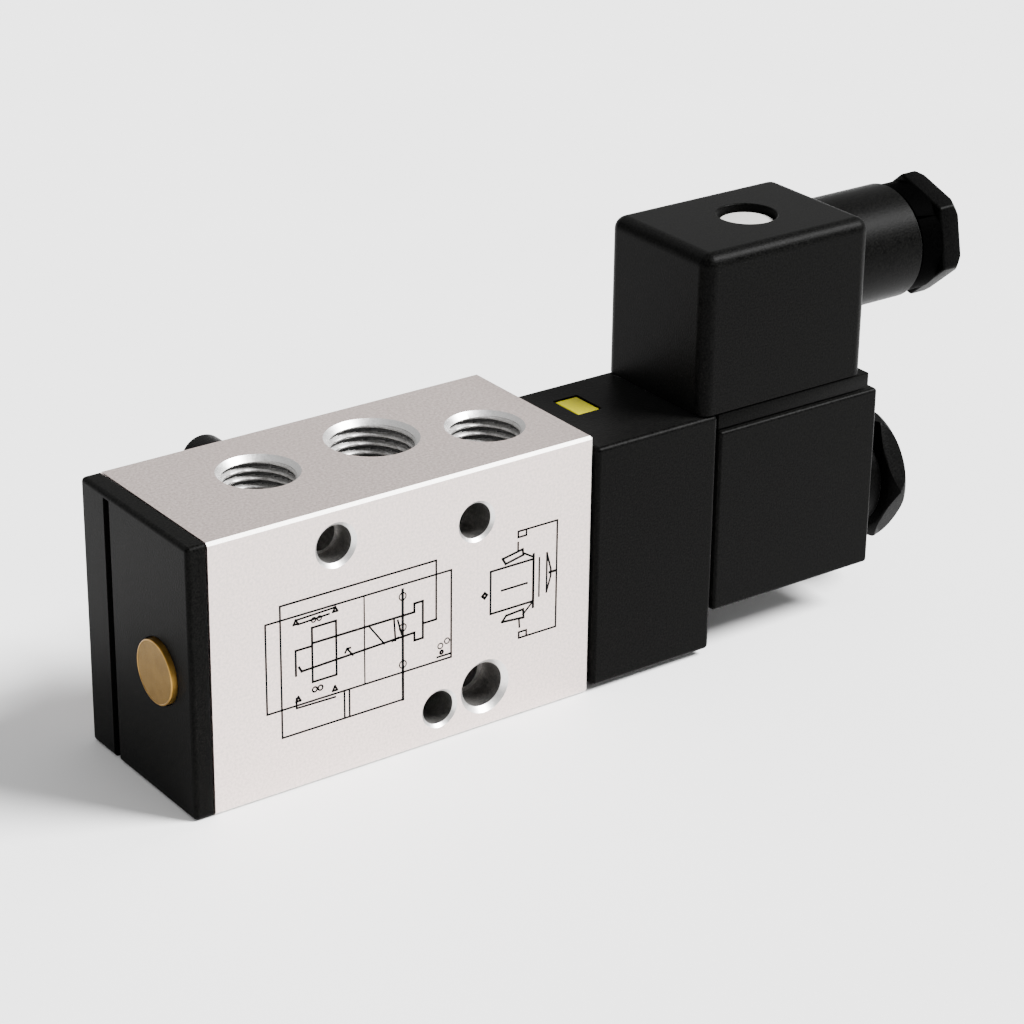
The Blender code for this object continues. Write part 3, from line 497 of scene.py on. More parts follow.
def chamfer_cutter(name, mouth, outward, radius, chamfer, steps=96):
    """A 45 degree cone from the chamfer's radius at the mouth to a tip inside the hole."""
    depth = chamfer - radius + CHAMFER_TIP
    cone = [(0, OVERRUN), (chamfer + OVERRUN, OVERRUN), (radius - CHAMFER_TIP, -depth), (0, -depth)]
    return turned(f"{name}_chamfer", cone, mouth, outward, CUT, steps)


def thread_profile(phase):
    """How deep the thread is cut at a point along one pitch, from 0 to 1: ridge, flank, root, flank."""
    if phase < RIDGE_END:
        return 0.0
    if phase < FLANK_END:
        return (phase - RIDGE_END) / (FLANK_END - RIDGE_END)
    if phase < ROOT_END:
        return 1.0
    return 1 - (phase - ROOT_END) / (1 - ROOT_END)


def thread_cutter(name, mouth, outward, core, crest, pitch, depth, looks, lead=0.0, steps=80, samples=14):
    """A cutter for an internal thread: a cylinder whose radius follows the thread's profile on a helix.

    The looks are those of the ridge with the flank that faces the mouth, and of the root behind it; in the
    ports the near-black root look is painted shade.
    Below the plain lead at the mouth the thread takes half a pitch to reach its full depth.
    """

    def phase(height, i):
        return (height / pitch - i / steps) % 1.0

    form = bmesh.new()
    run_in = pitch / 2
    rows = int(depth / pitch * samples)
    rings = []
    for j in range(rows + 1):
        height = -depth + (depth + OVERRUN) * j / rows
        full = min(max((-height - lead) / run_in, 0), 1)
        ring = []
        for i in range(steps):
            radius = (core + (crest - core) * thread_profile(phase(height, i)) * full) * MM
            angle = math.tau * i / steps
            ring.append(form.verts.new((radius * math.cos(angle), radius * math.sin(angle), height * MM)))
        rings.append(ring)
    for low, high in zip(rings, rings[1:]):
        for i in range(steps):
            k = (i + 1) % steps
            face = form.faces.new((low[i], low[k], high[k], high[i]))
            height = (low[i].co.z + high[i].co.z) / 2 / MM
            # the root's faces take the second look: painted shade in the thread's roots
            in_shaded_root = phase(height, i) >= FLANK_END and -height >= lead + run_in / 2
            face.material_index = 1 if in_shaded_root else 0
    form.faces.new(list(reversed(rings[0])))
    form.faces.new(rings[-1])
    mesh = bpy.data.meshes.new(name)
    form.to_mesh(mesh)
    form.free()
    obj = new_object(name, mesh)
    for look in looks:
        mesh.materials.append(look)
    obj.location = Vector(mouth) * MM
    obj.rotation_mode = "QUATERNION"
    obj.rotation_quaternion = Vector(Z).rotation_difference(Vector(outward))
    return obj


def bevel(obj, width, segments=3, angle=40, material=-1):
    edge = obj.modifiers.new("edges", "BEVEL")
    edge.width = width * MM
    edge.segments = segments
    edge.limit_method = "ANGLE"
    edge.angle_limit = math.radians(angle)
    edge.material = material
    return obj


def combine(obj, operation, others):
    """Booleans with each other object, in order; the faces keep the other object's material."""
    for other in others:
        change = obj.modifiers.new(other.name, "BOOLEAN")
        change.operation = operation
        change.solver = "EXACT"
        change.material_mode = "TRANSFER"
        change.object = other
    return obj


def baked(obj, others=(), sharp=32):
    """Apply obj's modifiers in world space, remove the others, and shade it smooth up to sharp degrees."""
    bpy.context.view_layer.update()
    shaped = obj.evaluated_get(bpy.context.evaluated_depsgraph_get())
    mesh = bpy.data.meshes.new_from_object(shaped)
    mesh.transform(obj.matrix_world)
    mesh.shade_smooth()
    mesh.set_sharp_from_angle(angle=math.radians(sharp))
    obj.modifiers.clear()
    obj.data = mesh
    obj.matrix_world = Matrix.Identity(4)
    for other in others:
        bpy.data.objects.remove(other)
    return obj


def cut(obj, *cutters, sharp=32):
    combine(obj, "DIFFERENCE", cutters)
    return baked(obj, cutters, sharp)


def join(obj, *additions, sharp=32):
    combine(obj, "UNION", additions)
    return baked(obj, additions, sharp)


def even_faces(obj):
    """Flat faces keep their own shading right up to the rounded edges beside them."""
    obj.modifiers.new("even_faces", "WEIGHTED_NORMAL").keep_sharp = True
    return obj


def stand_for(obj, body, node):
    """The piece rides on the body and stands for the CAD node."""
    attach(obj, body)
    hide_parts(node)
    return obj


# Valve body


def spool_bore():
    """The spool's bore with its chambers, and the pilot piston's wider bore at the right."""
    right = BODY_X[1] + OVERRUN
    left = BODY_X[0] - OVERRUN
    step = PISTON_BORE_LEFT
    outline = [(0, right), (PISTON_BORE_R, right), (PISTON_BORE_R, step), (BORE_R, step)]
    for x in reversed(CHAMBERS):
        chamber_left, chamber_right = x - CHAMBER_HALF, x + CHAMBER_HALF
        outline += [(BORE_R, chamber_right), (CHAMBER_R, chamber_right)]
        outline += [(CHAMBER_R, chamber_left), (BORE_R, chamber_left)]
    outline += [(BORE_R, left), (0, left)]
    # The bore's walls take the darkened aluminium: painted shade.
    return turned("bore", outline, (0, SPOOL_Y, SPOOL_Z), X, BORE_PAINTED_SHADE, 64)


def port_cutters(name):
    """A port's thread, its chamfer, and the drilling down to the chamber."""
    x, y, core, crest, pitch, chamfer, depth, (px, py, pr) = TOP_PORTS[name]
    mouth = (x, y, BODY_Z[1])
    lead = chamfer - core - THREAD_RISE
    yield thread_cutter(f"{name}_thread", mouth, Z, core, crest, pitch, depth, (THREAD, ROOT_PAINTED_SHADE), lead)
    yield chamfer_cutter(name, mouth, Z, core, chamfer)
    yield rod(f"{name}_passage", pr, SPOOL_Z, BODY_Z[1] - depth + 0.5, (px, py, 0), Z, BORE_PAINTED_SHADE, 32)


def small_cutters():
    """Every hole but the spool's bore and the threaded ports: front, back, and the two ends."""
    for number, (x, z, stages, chamfer) in enumerate(FRONT_HOLES, 1):
        yield from hole(f"front_hole_{number}", (x, BODY_Y[0], z), (0, -1, 0), stages, chamfer)
    for number, (x, chamber) in enumerate(zip(OUTLET_X, OUTLET_CHAMBERS), 1):
        yield from hole(f"outlet_{number}", (x, BODY_Y[1], SPOOL_Z), Y, OUTLET_STAGES)
        yield rod(f"outlet_passage_{number}", 1.8, -3.0, 4.5, (chamber, 0, SPOOL_Z), Y, BORE_PAINTED_SHADE, 32)
    yield from hole("stud_hole", (STUD_X, BODY_Y[1], STUD_Z), Y, [(6.1, 2.5)], 2.7, 40)
    for number, (y, z) in enumerate(PEG_PLACES, 1):
        yield from hole(f"peg_hole_{number}", (BODY_X[0], y, z), (-1, 0, 0), [(6.0, 1.9)], None, 24)
    for number, (y, z) in enumerate(PILOT_SCREWS, 1):
        yield from hole(f"screw_hole_{number}", (BODY_X[1], y, z), X, [(10.0, SCREW_HOLE_R)], None, 24)
    yield from hole("supply_channel", (BODY_X[1], SUPPLY_Y, SUPPLY_Z), X, [(21.5, 1.0)], None, 24)


def valve_body():
    """The aluminium block: chamfered along its edges, and flat where the end cap sits on it."""
    left, right = BODY_X
    body = box("valve_block", (left - 5, right), BODY_Y, BODY_Z, ALUMINIUM)
    body.data.materials.append(EDGE)
    bevel(body, EDGE_CHAMFER, 1, material=1)
    left_end = box("left_end", (left - 20, left), PAST_Y, PAST_Z, ALUMINIUM)
    cutters = [left_end, spool_bore(), *small_cutters()]
    for name in TOP_PORTS:
        cutters += port_cutters(name)
    cut(body, *cutters, sharp=28)
    stand_for(body, "housing", "valve_body")


def end_cap():
    """The moulded cap: a slot down its face, the brass pin's hole, a pocket behind, and four pegs."""
    left = CAP_X[0]
    cap = box("end_cap_moulding", (left, CAP_RIGHT + 5), CAP_Y, CAP_Z, CAP_BLACK)
    bevel(cap, 0.7, 5)
    right_end = box("right_end", (CAP_RIGHT, CAP_RIGHT + 20), PAST_Y, PAST_Z)
    groove = box("cap_groove", (left - 1, left + 1.2), (6.2, 7.8), (-1, 39.2))
    bevel(groove, 0.15, 2)
    pocket_x = (CAP_RIGHT - CAP_POCKET_DEPTH, CAP_RIGHT + 1)
    pocket = box("cap_pocket", pocket_x, (CAP_Y[0] + 2, CAP_Y[1] - 2), (2, CAP_Z[1] - 2))
    pin_hole = rod("pin_hole", PIN_HOLE_R, -5, 1, (left, SPOOL_Y, SPOOL_Z), (-1, 0, 0), None, 96)
    cut(cap, right_end, groove, pocket, pin_hole)
    pegs = []
    for number, (y, z) in enumerate(PEG_PLACES, 1):
        outline = [(0, -25.8), (1.2, -25.8), (1.6, -26.4), (1.6, -32.6), (0, -32.6)]
        pegs.append(turned(f"cap_peg_{number}", outline, (0, y, z), X, CAP_BLACK, 24))
    join(cap, *pegs)
    stand_for(even_faces(cap), "housing", "end_cap")


def indicator_pin():
    """The brass disc: a matt face inside a slim bright rim, and the stem behind it."""
    left = span("indicator_pin")[0][0]
    rim = PIN_R - 0.2
    face_left = left + 0.04
    rounding = 0.15
    stem_r, stem_right = 2.0, -13.5
    shoulder = CAP_RIGHT - CAP_POCKET_DEPTH
    outline = [(0, stem_right), (stem_r, stem_right), (stem_r, shoulder), (PIN_R, shoulder)]
    outline += arc((PIN_R - rounding, left + rounding), rounding, 0, -90, 3)
    outline += [(rim, left), (rim - 0.05, face_left), (0, face_left)]
    pin = turned("brass_pin", outline, (0, SPOOL_Y, SPOOL_Z), X, BRASS_EDGE, 96)
    baked(pin)
    pin.data.materials.append(BRASS)
    for face in pin.data.polygons:
        centre = face.center / MM
        radius = math.hypot(centre.y - SPOOL_Y, centre.z - SPOOL_Z)
        if centre.x < left + 0.1 and radius < rim - 0.05:
            face.material_index = 1
    stand_for(pin, "spool_line", "indicator_pin")


def locating_stud():
    """The black stud: a rounded head that stands out of the back, on a thinner root."""
    outline = [(0, 21.75), (2.7, 21.75), *arc((2.7, 20.95), 0.8, 90, 0, 5), (3.5, 14.3)]
    outline += [(2.2, 14.3), (2.2, 8.3), (0, 8.3)]
    stud = turned("stud", outline, (STUD_X, 0, STUD_Z), Y, BLACK, 64)
    stand_for(baked(stud), "housing", "locating_stud")


def flange_seals():
    """The two outlets' O-rings."""
    count = 16
    outline = []
    for i in range(count):
        angle = math.tau * i / count
        outline.append((SEAL_R - SEAL_WIRE_R * math.cos(angle), SEAL_Y + SEAL_WIRE_R * math.sin(angle)))
    for number, x in enumerate(OUTLET_X, 1):
        ring = turned(f"flange_o_ring_{number}", outline, (x, 0, SPOOL_Z), Y, RUBBER, 72, True)
        stand_for(baked(ring, sharp=60), "housing", f"flange_seal_{number}")


# Printed symbol on the front face


def stroke(form, points, width, closed=False):
    """A flat printed line through (x, z) points: one thin strip for each run, with square ends."""
    face_y = BODY_Y[0] * MM
    thick = 0.02 * MM
    ends = [*points, points[0]] if closed else points
    for (x0, z0), (x1, z1) in zip(ends, ends[1:]):
        length = math.hypot(x1 - x0, z1 - z0)
        angle = math.atan2(z1 - z0, x1 - x0)
        place = Matrix.Translation(((x0 + x1) / 2 * MM, face_y - thick / 2, (z0 + z1) / 2 * MM))
        place @= Euler((0, -angle, 0)).to_matrix().to_4x4()
        place @= Matrix.Diagonal(((length + width) * MM, thick, width * MM, 1))
        bmesh.ops.create_cube(form, size=1.0, matrix=place)


def circle_points(x, z, radius, count=20):
    """A printed circle as (x, z) points."""
    angles = [math.tau * i / count for i in range(count)]
    return [(x + radius * math.cos(angle), z + radius * math.sin(angle)) for angle in angles]


def rectangle(x0, z0, x1, z1):
    return [(x0, z0), (x1, z0), (x1, z1), (x0, z1)]


def printed_symbol():
    """A plain valve sketch in thin black print: a section at the left, a small symbol at the right."""
    form = bmesh.new()
    thin, thick = 0.3, 0.42
    lines = [
        # the two offset frames
        ([(4.5, 19.2), (4.5, 28.1), (-20.4, 28.1), (-20.4, 8.5), (-1.0, 8.5)], thin, False),
        (rectangle(-22.7, 12.7, 7.0, 26.0), thin, False),
        ([(-22.7, 26.0), (-22.7, 12.7)], thin, False),
        # the uprights
        ([(-7.2, 26.0), (-7.2, 12.7)], 0.22, False),
        ([(-1.0, 25.2), (-1.0, 8.5)], thick, False),
        ([(-10.5, 12.7), (-10.5, 8.5)], thin, False),
        ([(-9.7, 12.7), (-9.7, 8.5)], thin, False),
        # the spool outline
        (rectangle(-15.5, 15.5, -11.7, 23.6), 0.34, True),
        ([(-15.5, 20.9), (-18.1, 20.9), (-18.1, 17.2)], 0.34, False),
        (
            [
                (-15.5, 21.3), (0.9, 21.3), (0.9, 22.6), (2.3, 22.6), (2.3, 17.0),
                (0.9, 17.0), (0.9, 18.2), (-17.2, 17.6), (-17.6, 18.3),
            ],
            0.36,
            False,
        ),
        ([(2.3, 19.2), (4.5, 19.2)], 0.34, False),
        # flow lines
        ([(-6.5, 21.3), (-4.0, 17.9)], 0.28, False),
        ([(-2.4, 21.0), (-2.2, 17.9)], thin, False),
        ([(-2.7, 17.9), (-1.8, 18.2)], thin, False),
        ([(-9.1, 17.7), (-10.0, 18.9)], thin, False),
        ([(-10.3, 18.4), (-10.0, 18.9), (-9.5, 18.9)], thin, False),
        ([(-1.8, 20.8), (-1.2, 18.6)], thin, False),
        # adjusting arrows
        ([(-18.0, 25.4), (-11.9, 25.6)], thin, False),
        ([(-17.6, 24.7), (-12.8, 24.9)], thin, False),
        ([(-18.1, 13.8), (-18.1, 12.3), (-12.0, 12.2)], thin, False),
        # right-hand symbol
        ([(18.2, 27.9), (18.2, 28.8), (24.9, 28.8), (24.9, 12.3), (18.5, 12.3), (18.5, 13.2)], thin, False),
        (rectangle(18.2, 27.9, 19.6, 28.8), 0.3, True),
        (rectangle(18.5, 12.3, 19.8, 13.2), 0.3, True),
        ([(18.2, 27.1), (18.2, 26.0)], thin, False),
        ([(18.6, 14.0), (18.5, 15.4)], thin, False),
        ([(15.6, 25.3), (19.0, 25.9), (19.1, 25.0), (16.1, 24.4)], 0.36, True),
        ([(15.6, 15.6), (16.3, 16.4), (19.2, 16.6), (19.3, 15.3)], 0.36, True),
        ([(19.1, 25.3), (20.9, 24.2)], 0.3, False),
        ([(19.2, 15.8), (20.9, 17.4)], 0.3, False),
        (rectangle(13.6, 17.4, 20.9, 23.9), 0.34, True),
        ([(20.9, 24.6), (20.9, 16.5)], 0.4, False),
        ([(15.5, 20.5), (19.8, 20.5)], 0.32, False),
        ([(21.9, 23.8), (21.9, 17.9)], 0.28, False),
        ([(23.2, 24.2), (23.2, 18.2), (23.9, 20.5), (23.9, 21.6), (23.2, 24.2)], 0.3, False),
        ([(23.7, 21.1), (24.7, 21.1)], 0.4, False),
    ]
    for points, width, closed in lines:
        stroke(form, points, width, closed)
    crossings = ((-1.0, 24.2, 0.55), (-1.0, 19.5, 0.55), (-1.0, 13.9, 0.55))
    corner_circles = ((5.2, 14.9, 0.4), (6.3, 15.4, 0.4))
    for x, z, radius in crossings + corner_circles:
        stroke(form, circle_points(x, z, radius), 0.18, True)
    for x, z in ((-18.0, 25.1), (-11.8, 25.3), (-17.8, 13.6), (-12.0, 13.5)):
        stroke(form, [(x - 0.35, z - 0.3), (x, z + 0.35), (x + 0.35, z - 0.3)], 0.32, True)
    for x in (-15.2, -14.3):
        stroke(form, circle_points(x, 24.7, 0.33, 12), 0.2, True)
        stroke(form, circle_points(x, 14.3, 0.36, 12), 0.24, True)
    stroke(form, [(4.7, 13.3), (7.0, 13.3)], thin)
    stroke(form, circle_points(5.4, 13.9, 0.22, 10), 0.3, True)
    stroke(form, [(12.2, 20.5), (12.6, 20.9), (13.0, 20.5), (12.6, 20.1)], 0.4, True)
    mesh = bpy.data.meshes.new("printed_symbol")
    form.to_mesh(mesh)
    form.free()
    symbol = new_object("printed_symbol", mesh, INK)
    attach(symbol, "housing")


# Pilot block


def pilot_block():
    """The black block between body and coil, with the button's window, its screws and its air channels."""
    left, right = BLOCK_X
    block = box("pilot_moulding", BLOCK_X, BLOCK_Y, BLOCK_Z, BLACK)
    bevel(block, 0.7, 4)
    cutters = [box("pocket", (left - 1, left + 0.9), (-12.6, 6.9), (3.5, 36.5))]
    flange_floor, tube_floor = 46.4 - right, 41.3 - right
    seat = [(0, 1), (5.5, 1), (5.5, flange_floor), (2.9, flange_floor), (2.9, tube_floor), (0, tube_floor)]
    cutters.append(turned("tube_seat", seat, (right, COIL_Y, COIL_Z), X))
    for number, (sy, sz) in enumerate(PILOT_SCREWS, 1):
        line = (0, sy, sz)
        head = right - SCREW_HEAD_DEPTH
        cutters.append(rod(f"block_screw_{number}", SCREW_HOLE_R, 30.0, 60.0, line, X, None, 32))
        cutters.append(rod(f"screw_head_{number}", SCREW_HEAD_R, head, 60.0, line, X, None, 32))
    x, y = OVERRIDE
    half_x, half_y = WINDOW_HALF
    window_z = (WINDOW_BOTTOM, BLOCK_Z[1] + 1)
    window = box("window", (x - half_x, x + half_x), (y - half_y, y + half_y), window_z)
    bevel(window, 0.25, 3)
    cutters.append(window)
    cutters.append(rod("override_bore", 2.3, 10.0, WINDOW_BOTTOM + 0.5, (x, y, 0), Z, None, 40))
    channels = (
        (1.0, 30.3, 39.0, (0, SUPPLY_Y, SUPPLY_Z), X),
        (1.0, COIL_Z, SUPPLY_Z, (38.0, SUPPLY_Y, 0), Z),
        (0.9, -4.0, SUPPLY_Y, (38.0, 0, COIL_Z), Y),
        (0.95, 37.5, 42.0, (0, COIL_Y, COIL_Z), X),
        (1.05, 30.3, 47.0, (0, -6.7, COIL_Z), X),
        (0.85, -6.7, y, (x, 0, COIL_Z + 0.7), Y),
    )
    for number, (radius, low, high, centre, direction) in enumerate(channels, 1):
        cutters.append(rod(f"channel_{number}", radius, low, high, centre, direction, None, 20))
    cut(block, *cutters)
    stand_for(even_faces(block), "housing", "pilot_block")


def manual_override():
    """The yellow button on its grooved stem."""
    x, y = OVERRIDE
    half_x, half_y = BUTTON_HALF
    top = span("manual_override")[2][1]
    head_z = (top - 5.0, top)
    head = box("override_button", (x - half_x, x + half_x), (y - half_y, y + half_y), head_z, YELLOW)
    bevel(head, 0.2, 3)
    outline = [(0, top - 4.5), (1.55, top - 4.5), (1.55, 25.0), (2.0, 25.0), (2.0, 24.0), (1.3, 24.0)]
    outline += [(1.3, 22.9), (2.0, 22.9), (2.0, 19.3), (1.7, 19.0), (0, 19.0)]
    join(head, turned("override_stem", outline, (x, y, 0), Z, YELLOW, 40))
    stand_for(head, "override_button", "manual_override")


# Coil


def blade_slots(z):
    """Cutters for the three contact blades through the span z."""
    return [
        box("slot_1", (55.8, 57.2), (-6.95, -0.05), z),
        box("slot_2", (72.3, 73.7), (-6.95, -0.05), z),
        box("slot_3", (63.75, 70.65), (-10.4, -9.0), z),
    ]


def coil_housing():
    """The moulded coil, open inside for the bobbin and its frame."""
    coil = box("coil_moulding", COIL_X, COIL_Y_SPAN, COIL_Z_SPAN, BLACK)
    bevel(coil, 0.55, 4)
    bore = rod("coil_bore", COIL_BORE_R, 50.0, 85.0, (0, COIL_Y, COIL_Z), X)
    inside = box("coil_inside", (54.7, 80.6), (-12.8, 5.8), (8.8, 27.0))
    screw = rod("plug_screw_hole", SCREW_HOLE_R, *WALL_TOP, (*PLUG_SCREW, 0), Z, None, 32)
    cut(coil, bore, inside, screw, *blade_slots(WALL_TOP))
    stand_for(even_faces(coil), "housing", "coil_housing")


def coil_nut():
    """The round washer, and the hexagon nut with domed chamfers on both faces."""
    left, right = span("coil_nut")[0]
    line = (0, COIL_Y, COIL_Z)
    washer_left, washer_right = span("coil_washer")[0]
    outline = [(3.3, washer_right), (7.8, washer_right), *arc((7.8, washer_right - 0.5), 0.5, 90, 0, 4)]
    outline += [(8.3, washer_left), (3.3, washer_left)]
    washer = turned("nut_washer", outline, line, X, NUT_BLACK, 96, True)
    stand_for(baked(washer), "housing", "coil_washer")
    corner = NUT_CORNER
    nut = hexagon("hexagon_nut", corner, left, right, line, 30)
    bevel(nut, 0.4, 4, 50)
    outline = [(0, right), (8.2, right), (8.6, right - 0.1)]
    outline += arc((corner - 3.3, right - 3.1), 3.1, 60, 10, 6)
    outline += [(corner, left + 1.2), (corner - 1.6, left + 0.1), (corner - 1.9, left), (0, left)]
    dome = turned("nut_dome", outline, line, X, NUT_BLACK, 120)
    combine(nut, "INTERSECT", [dome])
    mouth = (left, COIL_Y, COIL_Z)
    core, crest, pitch, depth = 2.95, 3.3, 0.8, 3.1
    looks = (NUT_BLACK, NUT_BLACK)
    thread = thread_cutter("nut_thread", mouth, (-1, 0, 0), core, crest, pitch, depth, looks, 0.0, 40, 8)
    combine(nut, "DIFFERENCE", [thread])
    baked(nut, (dome, thread))
    stand_for(nut, "housing", "coil_nut")


# Plug connector


def plug_gasket():
    """The flat gasket under the plug, with holes for its screw and the blades."""
    through = (34.0, 40.0)
    gasket = box("flat_gasket", GASKET_X, GASKET_Y, GASKET_Z, BLACK)
    bevel(gasket, 0.2, 2)
    screw = rod("plug_screw_hole", SCREW_HOLE_R, *through, (*PLUG_SCREW, 0), Z, None, 32)
    cut(gasket, screw, *blade_slots(through))
    stand_for(gasket, "housing", "plug_gasket")


def plug_housing():
    """The plug's shell with rounded edges, its gland tube, its screw boss and the round recess."""
    left, end = PLUG_X
    right = PLUG_RIGHT
    bottom, top = PLUG_Z
    ceiling = top - PLUG_ROOF
    shell = box("plug_moulding", (left, right), PLUG_Y, (bottom - 5, top), BLACK)
    bevel(shell, 2.0, 8)
    below = box("plug_bottom", (30, 100), PAST_Y, (bottom - 20, bottom))
    inside_x = (left + PLUG_WALL, right - PLUG_WALL)
    inside = box("inside", inside_x, (PLUG_Y[0] + PLUG_WALL, PLUG_Y[1] - PLUG_WALL), (bottom - 1, ceiling))
    bevel(inside, 0.8, 3)
    cut(shell, below, inside)
    line = (0, COIL_Y, GLAND_Z)
    boss = rod("boss", 6.0, 52.0, ceiling + 1, (*PLUG_SCREW, 0), Z, BLACK)
    rounding = 0.25
    outline = [(0, end), (GLAND_R - rounding, end), (GLAND_R, end - rounding)]
    outline += [(GLAND_R, right - 1), (0, right - 1)]
    tube = turned("gland_tube", outline, line, X, BLACK, 120)
    join(shell, boss, tube)
    bore_outline = [(0, end + 1), (7.0, end + 1), (7.0, 81.7), (5.5, 81.7), (5.5, right - 3), (0, right - 3)]
    bore = turned("gland_bore", bore_outline, line, X, None, 80)
    lip = RECESS_R + rounding
    outline = [(0, 1), (lip + 1, 1), (lip, 0), *arc((lip, -rounding), rounding, 90, 180, 3)]
    outline += [(RECESS_R, -6.7), (SCREW_HOLE_R, -6.7), (SCREW_HOLE_R, -10.7), (0, -10.7)]
    recess = turned("recess", outline, (*PLUG_SCREW, top), Z, None, 96)
    cut(shell, bore, recess)
    stand_for(even_faces(shell), "housing", "plug_housing")


def screw_cover():
    """The white cap that closes the screw's recess, very slightly domed."""
    top = span("screw_cover")[2][1]
    outline = [(0, top), (2.5, top - 0.04), (3.9, top - 0.15), (4.1, top - 0.35), (4.1, 58.2), (0, 58.2)]
    cover = turned("white_cover", outline, (*PLUG_SCREW, 0), Z, WHITE, 80)
    stand_for(baked(cover), "housing", "screw_cover")


def gland_nut():
    """The gland's hexagon nut with its round collar and hollow sleeve."""
    left, right = GLAND_HEX_LEFT, span("gland_nut")[0][1]
    corner = GLAND_CORNER
    line = (0, COIL_Y, GLAND_Z)
    nut = hexagon("gland_hexagon", corner, left, right, line, GLAND_SPIN)
    bevel(nut, 0.4, 4, 50)
    outline = [(0, right), (8.0, right), *arc((8.0, right - 0.9), 0.9, 80, 35, 4), (corner, right - 1.1)]
    outline += [(corner, left + 0.3), (corner - 0.3, left), (0, left)]
    dome = turned("gland_dome", outline, line, X, NUT_BLACK, 96)
    combine(nut, "INTERSECT", [dome])
    baked(nut, (dome,))
    collar_r, root_r, sleeve_r = 8.2, 7.5, 6.7
    collar_left, collar_right = PLUG_X[1] + GAP, left + 0.05
    outline = [(0, left + 1), (root_r, left + 1), (root_r, collar_right), (collar_r, collar_right)]
    outline += [(collar_r, collar_left + 0.2), (collar_r - 0.2, collar_left), (sleeve_r, collar_left)]
    outline += [(sleeve_r, 88.4), (0, 88.4)]
    # The collar takes the near-black plastic: painted shade.
    sleeve = turned("gland_sleeve", outline, line, X, COLLAR_PAINTED_SHADE, 96)
    join(nut, sleeve)
    outline = [(0, right + 1), (6.0, right + 1), (5.0, right), (4.5, right - 1.5), (4.5, 87.5), (0, 87.5)]
    cut(nut, turned("gland_nut_bore", outline, line, X, None, 72))
    stand_for(nut, "housing", "gland_nut")


# Springs


def coil_spring(name, body, seat, moving_end, radius, wire, turns):
    """A spring with closed ends that rides on its moving end.

    The radius is that of the coil's middle line, and wire is the wire's own radius.
    """
    first, last = Vector(seat), Vector(moving_end)
    length = (last - first).length
    turn = Vector(Z).rotation_difference(last - first)
    closed = 2.1 * wire
    pitch = (length - 2 * wire - 2 * closed) / (turns - 2)
    form = bmesh.new()
    rings = []
    steps, sides = 32, 12
    for i in range(turns * steps + 1):
        t = i / steps
        angle = math.tau * t
        height = wire + closed * (min(t, 1) + max(t - turns + 1, 0)) + pitch * min(max(t - 1, 0), turns - 2)
        ring = []
        for j in range(sides):
            around = math.tau * j / sides
            reach = radius + wire * math.cos(around)
            rise = height + wire * math.sin(around)
            point = turn @ Vector((reach * math.cos(angle), reach * math.sin(angle), rise)) + first
            ring.append(form.verts.new(point * MM))
        rings.append(ring)
    for low, high in zip(rings, rings[1:]):
        for j in range(sides):
            k = (j + 1) % sides
            form.faces.new((low[j], high[j], high[k], low[k]))
    form.faces.new(rings[0])
    form.faces.new(list(reversed(rings[-1])))
    bmesh.ops.recalc_face_normals(form, faces=form.faces)
    mesh = bpy.data.meshes.new(name)
    form.to_mesh(mesh)
    form.free()
    mesh.shade_smooth()
    obj = new_object(f"{name}_wire", mesh, STEEL)
    stand_for(obj, body, name)
    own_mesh(obj)


def springs():
    """The springs of the spool, the armature and the override, each from its seat to what it pushes."""
    coil_spring(
        "return_spring", "spool_line",
        (-30.9, SPOOL_Y, SPOOL_Z), (-17.5, SPOOL_Y, SPOOL_Z), 3.7, 0.4, 6,
    )
    coil_spring(
        "armature_spring", "armature_line",
        (70.2, COIL_Y, COIL_Z), (60.3, COIL_Y, COIL_Z), 1.6, 0.25, 7,
    )
    coil_spring(
        "override_spring", "override_button",
        (*OVERRIDE, 10.2), (*OVERRIDE, 18.8), 1.5, 0.25, 6,
    )


# Carried-over CAD pieces


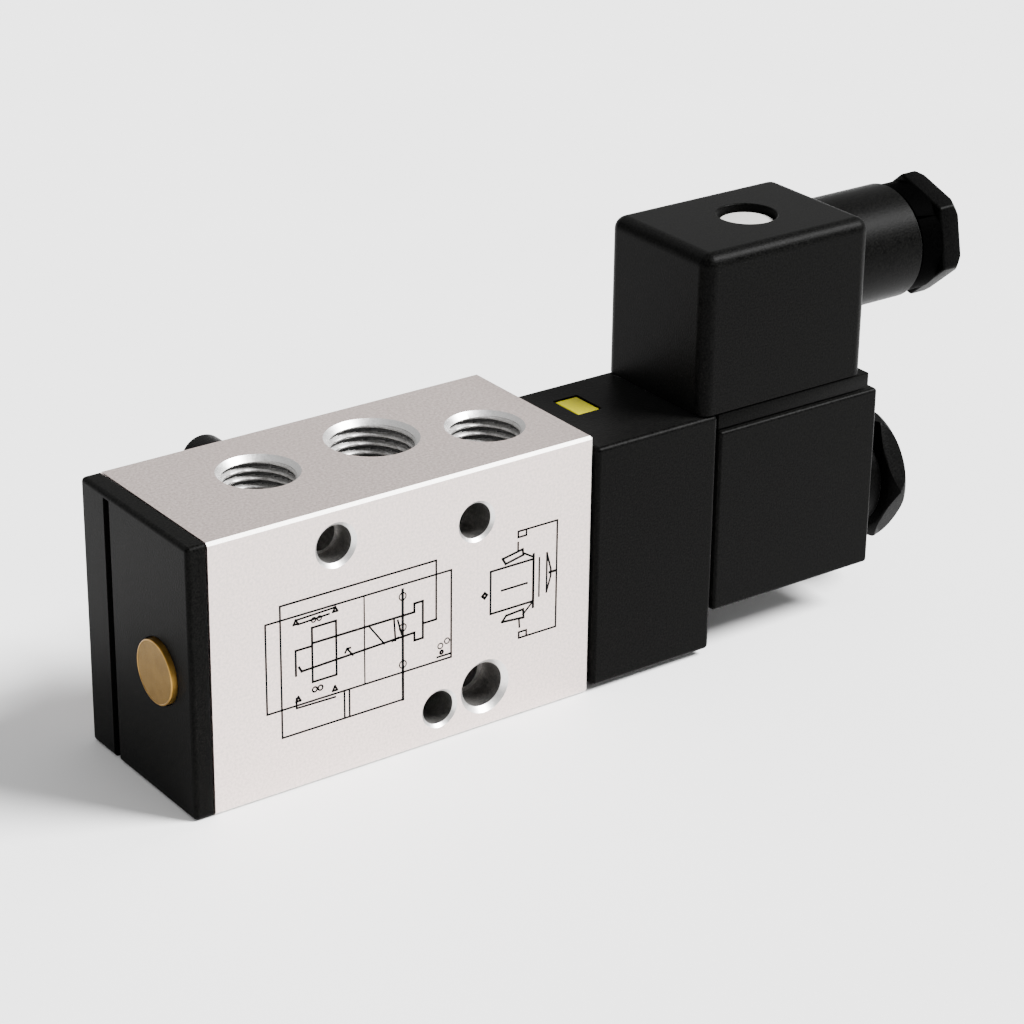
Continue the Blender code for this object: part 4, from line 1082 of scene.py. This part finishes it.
def dress_inner_pieces():
    """Every CAD node gets its finished material; it shows on those that keep their own shape."""
    looks = {
        "spool_aluminium": SPOOL_METAL,
        "insert_plastic": GREY,
        "rubber": RUBBER,
        "brass": BRASS_EDGE,
        "steel": STEEL,
        "winding_copper": COPPER,
        "black_plastic": BLACK,
    }
    for entry in frame["record"]["subparts"]:
        node = frame["nodes"][entry["node"]]
        # The spring seat takes near-black steel: painted shade behind the brass disc.
        look = SEAT_PAINTED_SHADE if entry["node"] == "spring_seat" else looks.get(entry["material_slot"])
        if look:
            node.data.materials.clear()
            node.data.materials.append(look)


# Studio


def floor():
    """A wide slab just under the valve."""
    size = 3000.0
    plane = box("floor", (-size, size), (-size, size), (-0.5, -0.02), pale_floor())
    plane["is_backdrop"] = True


def studio():
    """White light from all round, and a soft key light from the upper right."""
    world = bpy.data.worlds.new("studio")
    bpy.context.scene.world = world
    world.use_nodes = True
    background = world.node_tree.nodes["Background"]
    background.inputs["Color"].default_value = (1.0, 1.0, 1.0, 1.0)
    background.inputs["Strength"].default_value = 0.75
    data = bpy.data.lights.new("key", "SUN")
    data.energy = 14.0
    data.angle = math.radians(25)
    lamp = bpy.data.objects.new("key", data)
    RENDERED.objects.link(lamp)
    lamp.rotation_euler = Vector((-0.54, 0.42, -0.73)).to_track_quat("-Z", "Y").to_euler()


def camera():
    """The viewing direction, roll, lens and distance; the aim is a point beside the block's middle."""
    azimuth, elevation, roll = math.radians(36.12), math.radians(24.62), math.radians(0.72)
    distance = 446.9
    aim = Vector((27.3, 0.0, 24.1))
    level = math.cos(elevation)
    forward = Vector((math.sin(azimuth) * level, math.cos(azimuth) * level, -math.sin(elevation)))
    data = bpy.data.cameras.new("camera")
    data.lens = 109.85
    data.sensor_width = 36.0
    data.clip_start = 0.01
    eye = bpy.data.objects.new("camera", data)
    RENDERED.objects.link(eye)
    eye.location = (aim - forward * distance) * MM
    turn = forward.to_track_quat("-Z", "Y").to_matrix()
    eye.rotation_euler = (turn @ Euler((0, 0, roll)).to_matrix()).to_euler()
    bpy.context.scene.camera = eye


def main():
    camera()
    studio()
    floor()
    valve_body()
    end_cap()
    indicator_pin()
    locating_stud()
    flange_seals()
    printed_symbol()
    pilot_block()
    manual_override()
    coil_housing()
    coil_nut()
    plug_gasket()
    plug_housing()
    screw_cover()
    gland_nut()
    springs()
    dress_inner_pieces()


main()
boxes = {"cad": CAD_BOX, "visual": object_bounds()}
{name: [list(corner) for corner in corners] for name, corners in boxes.items()}
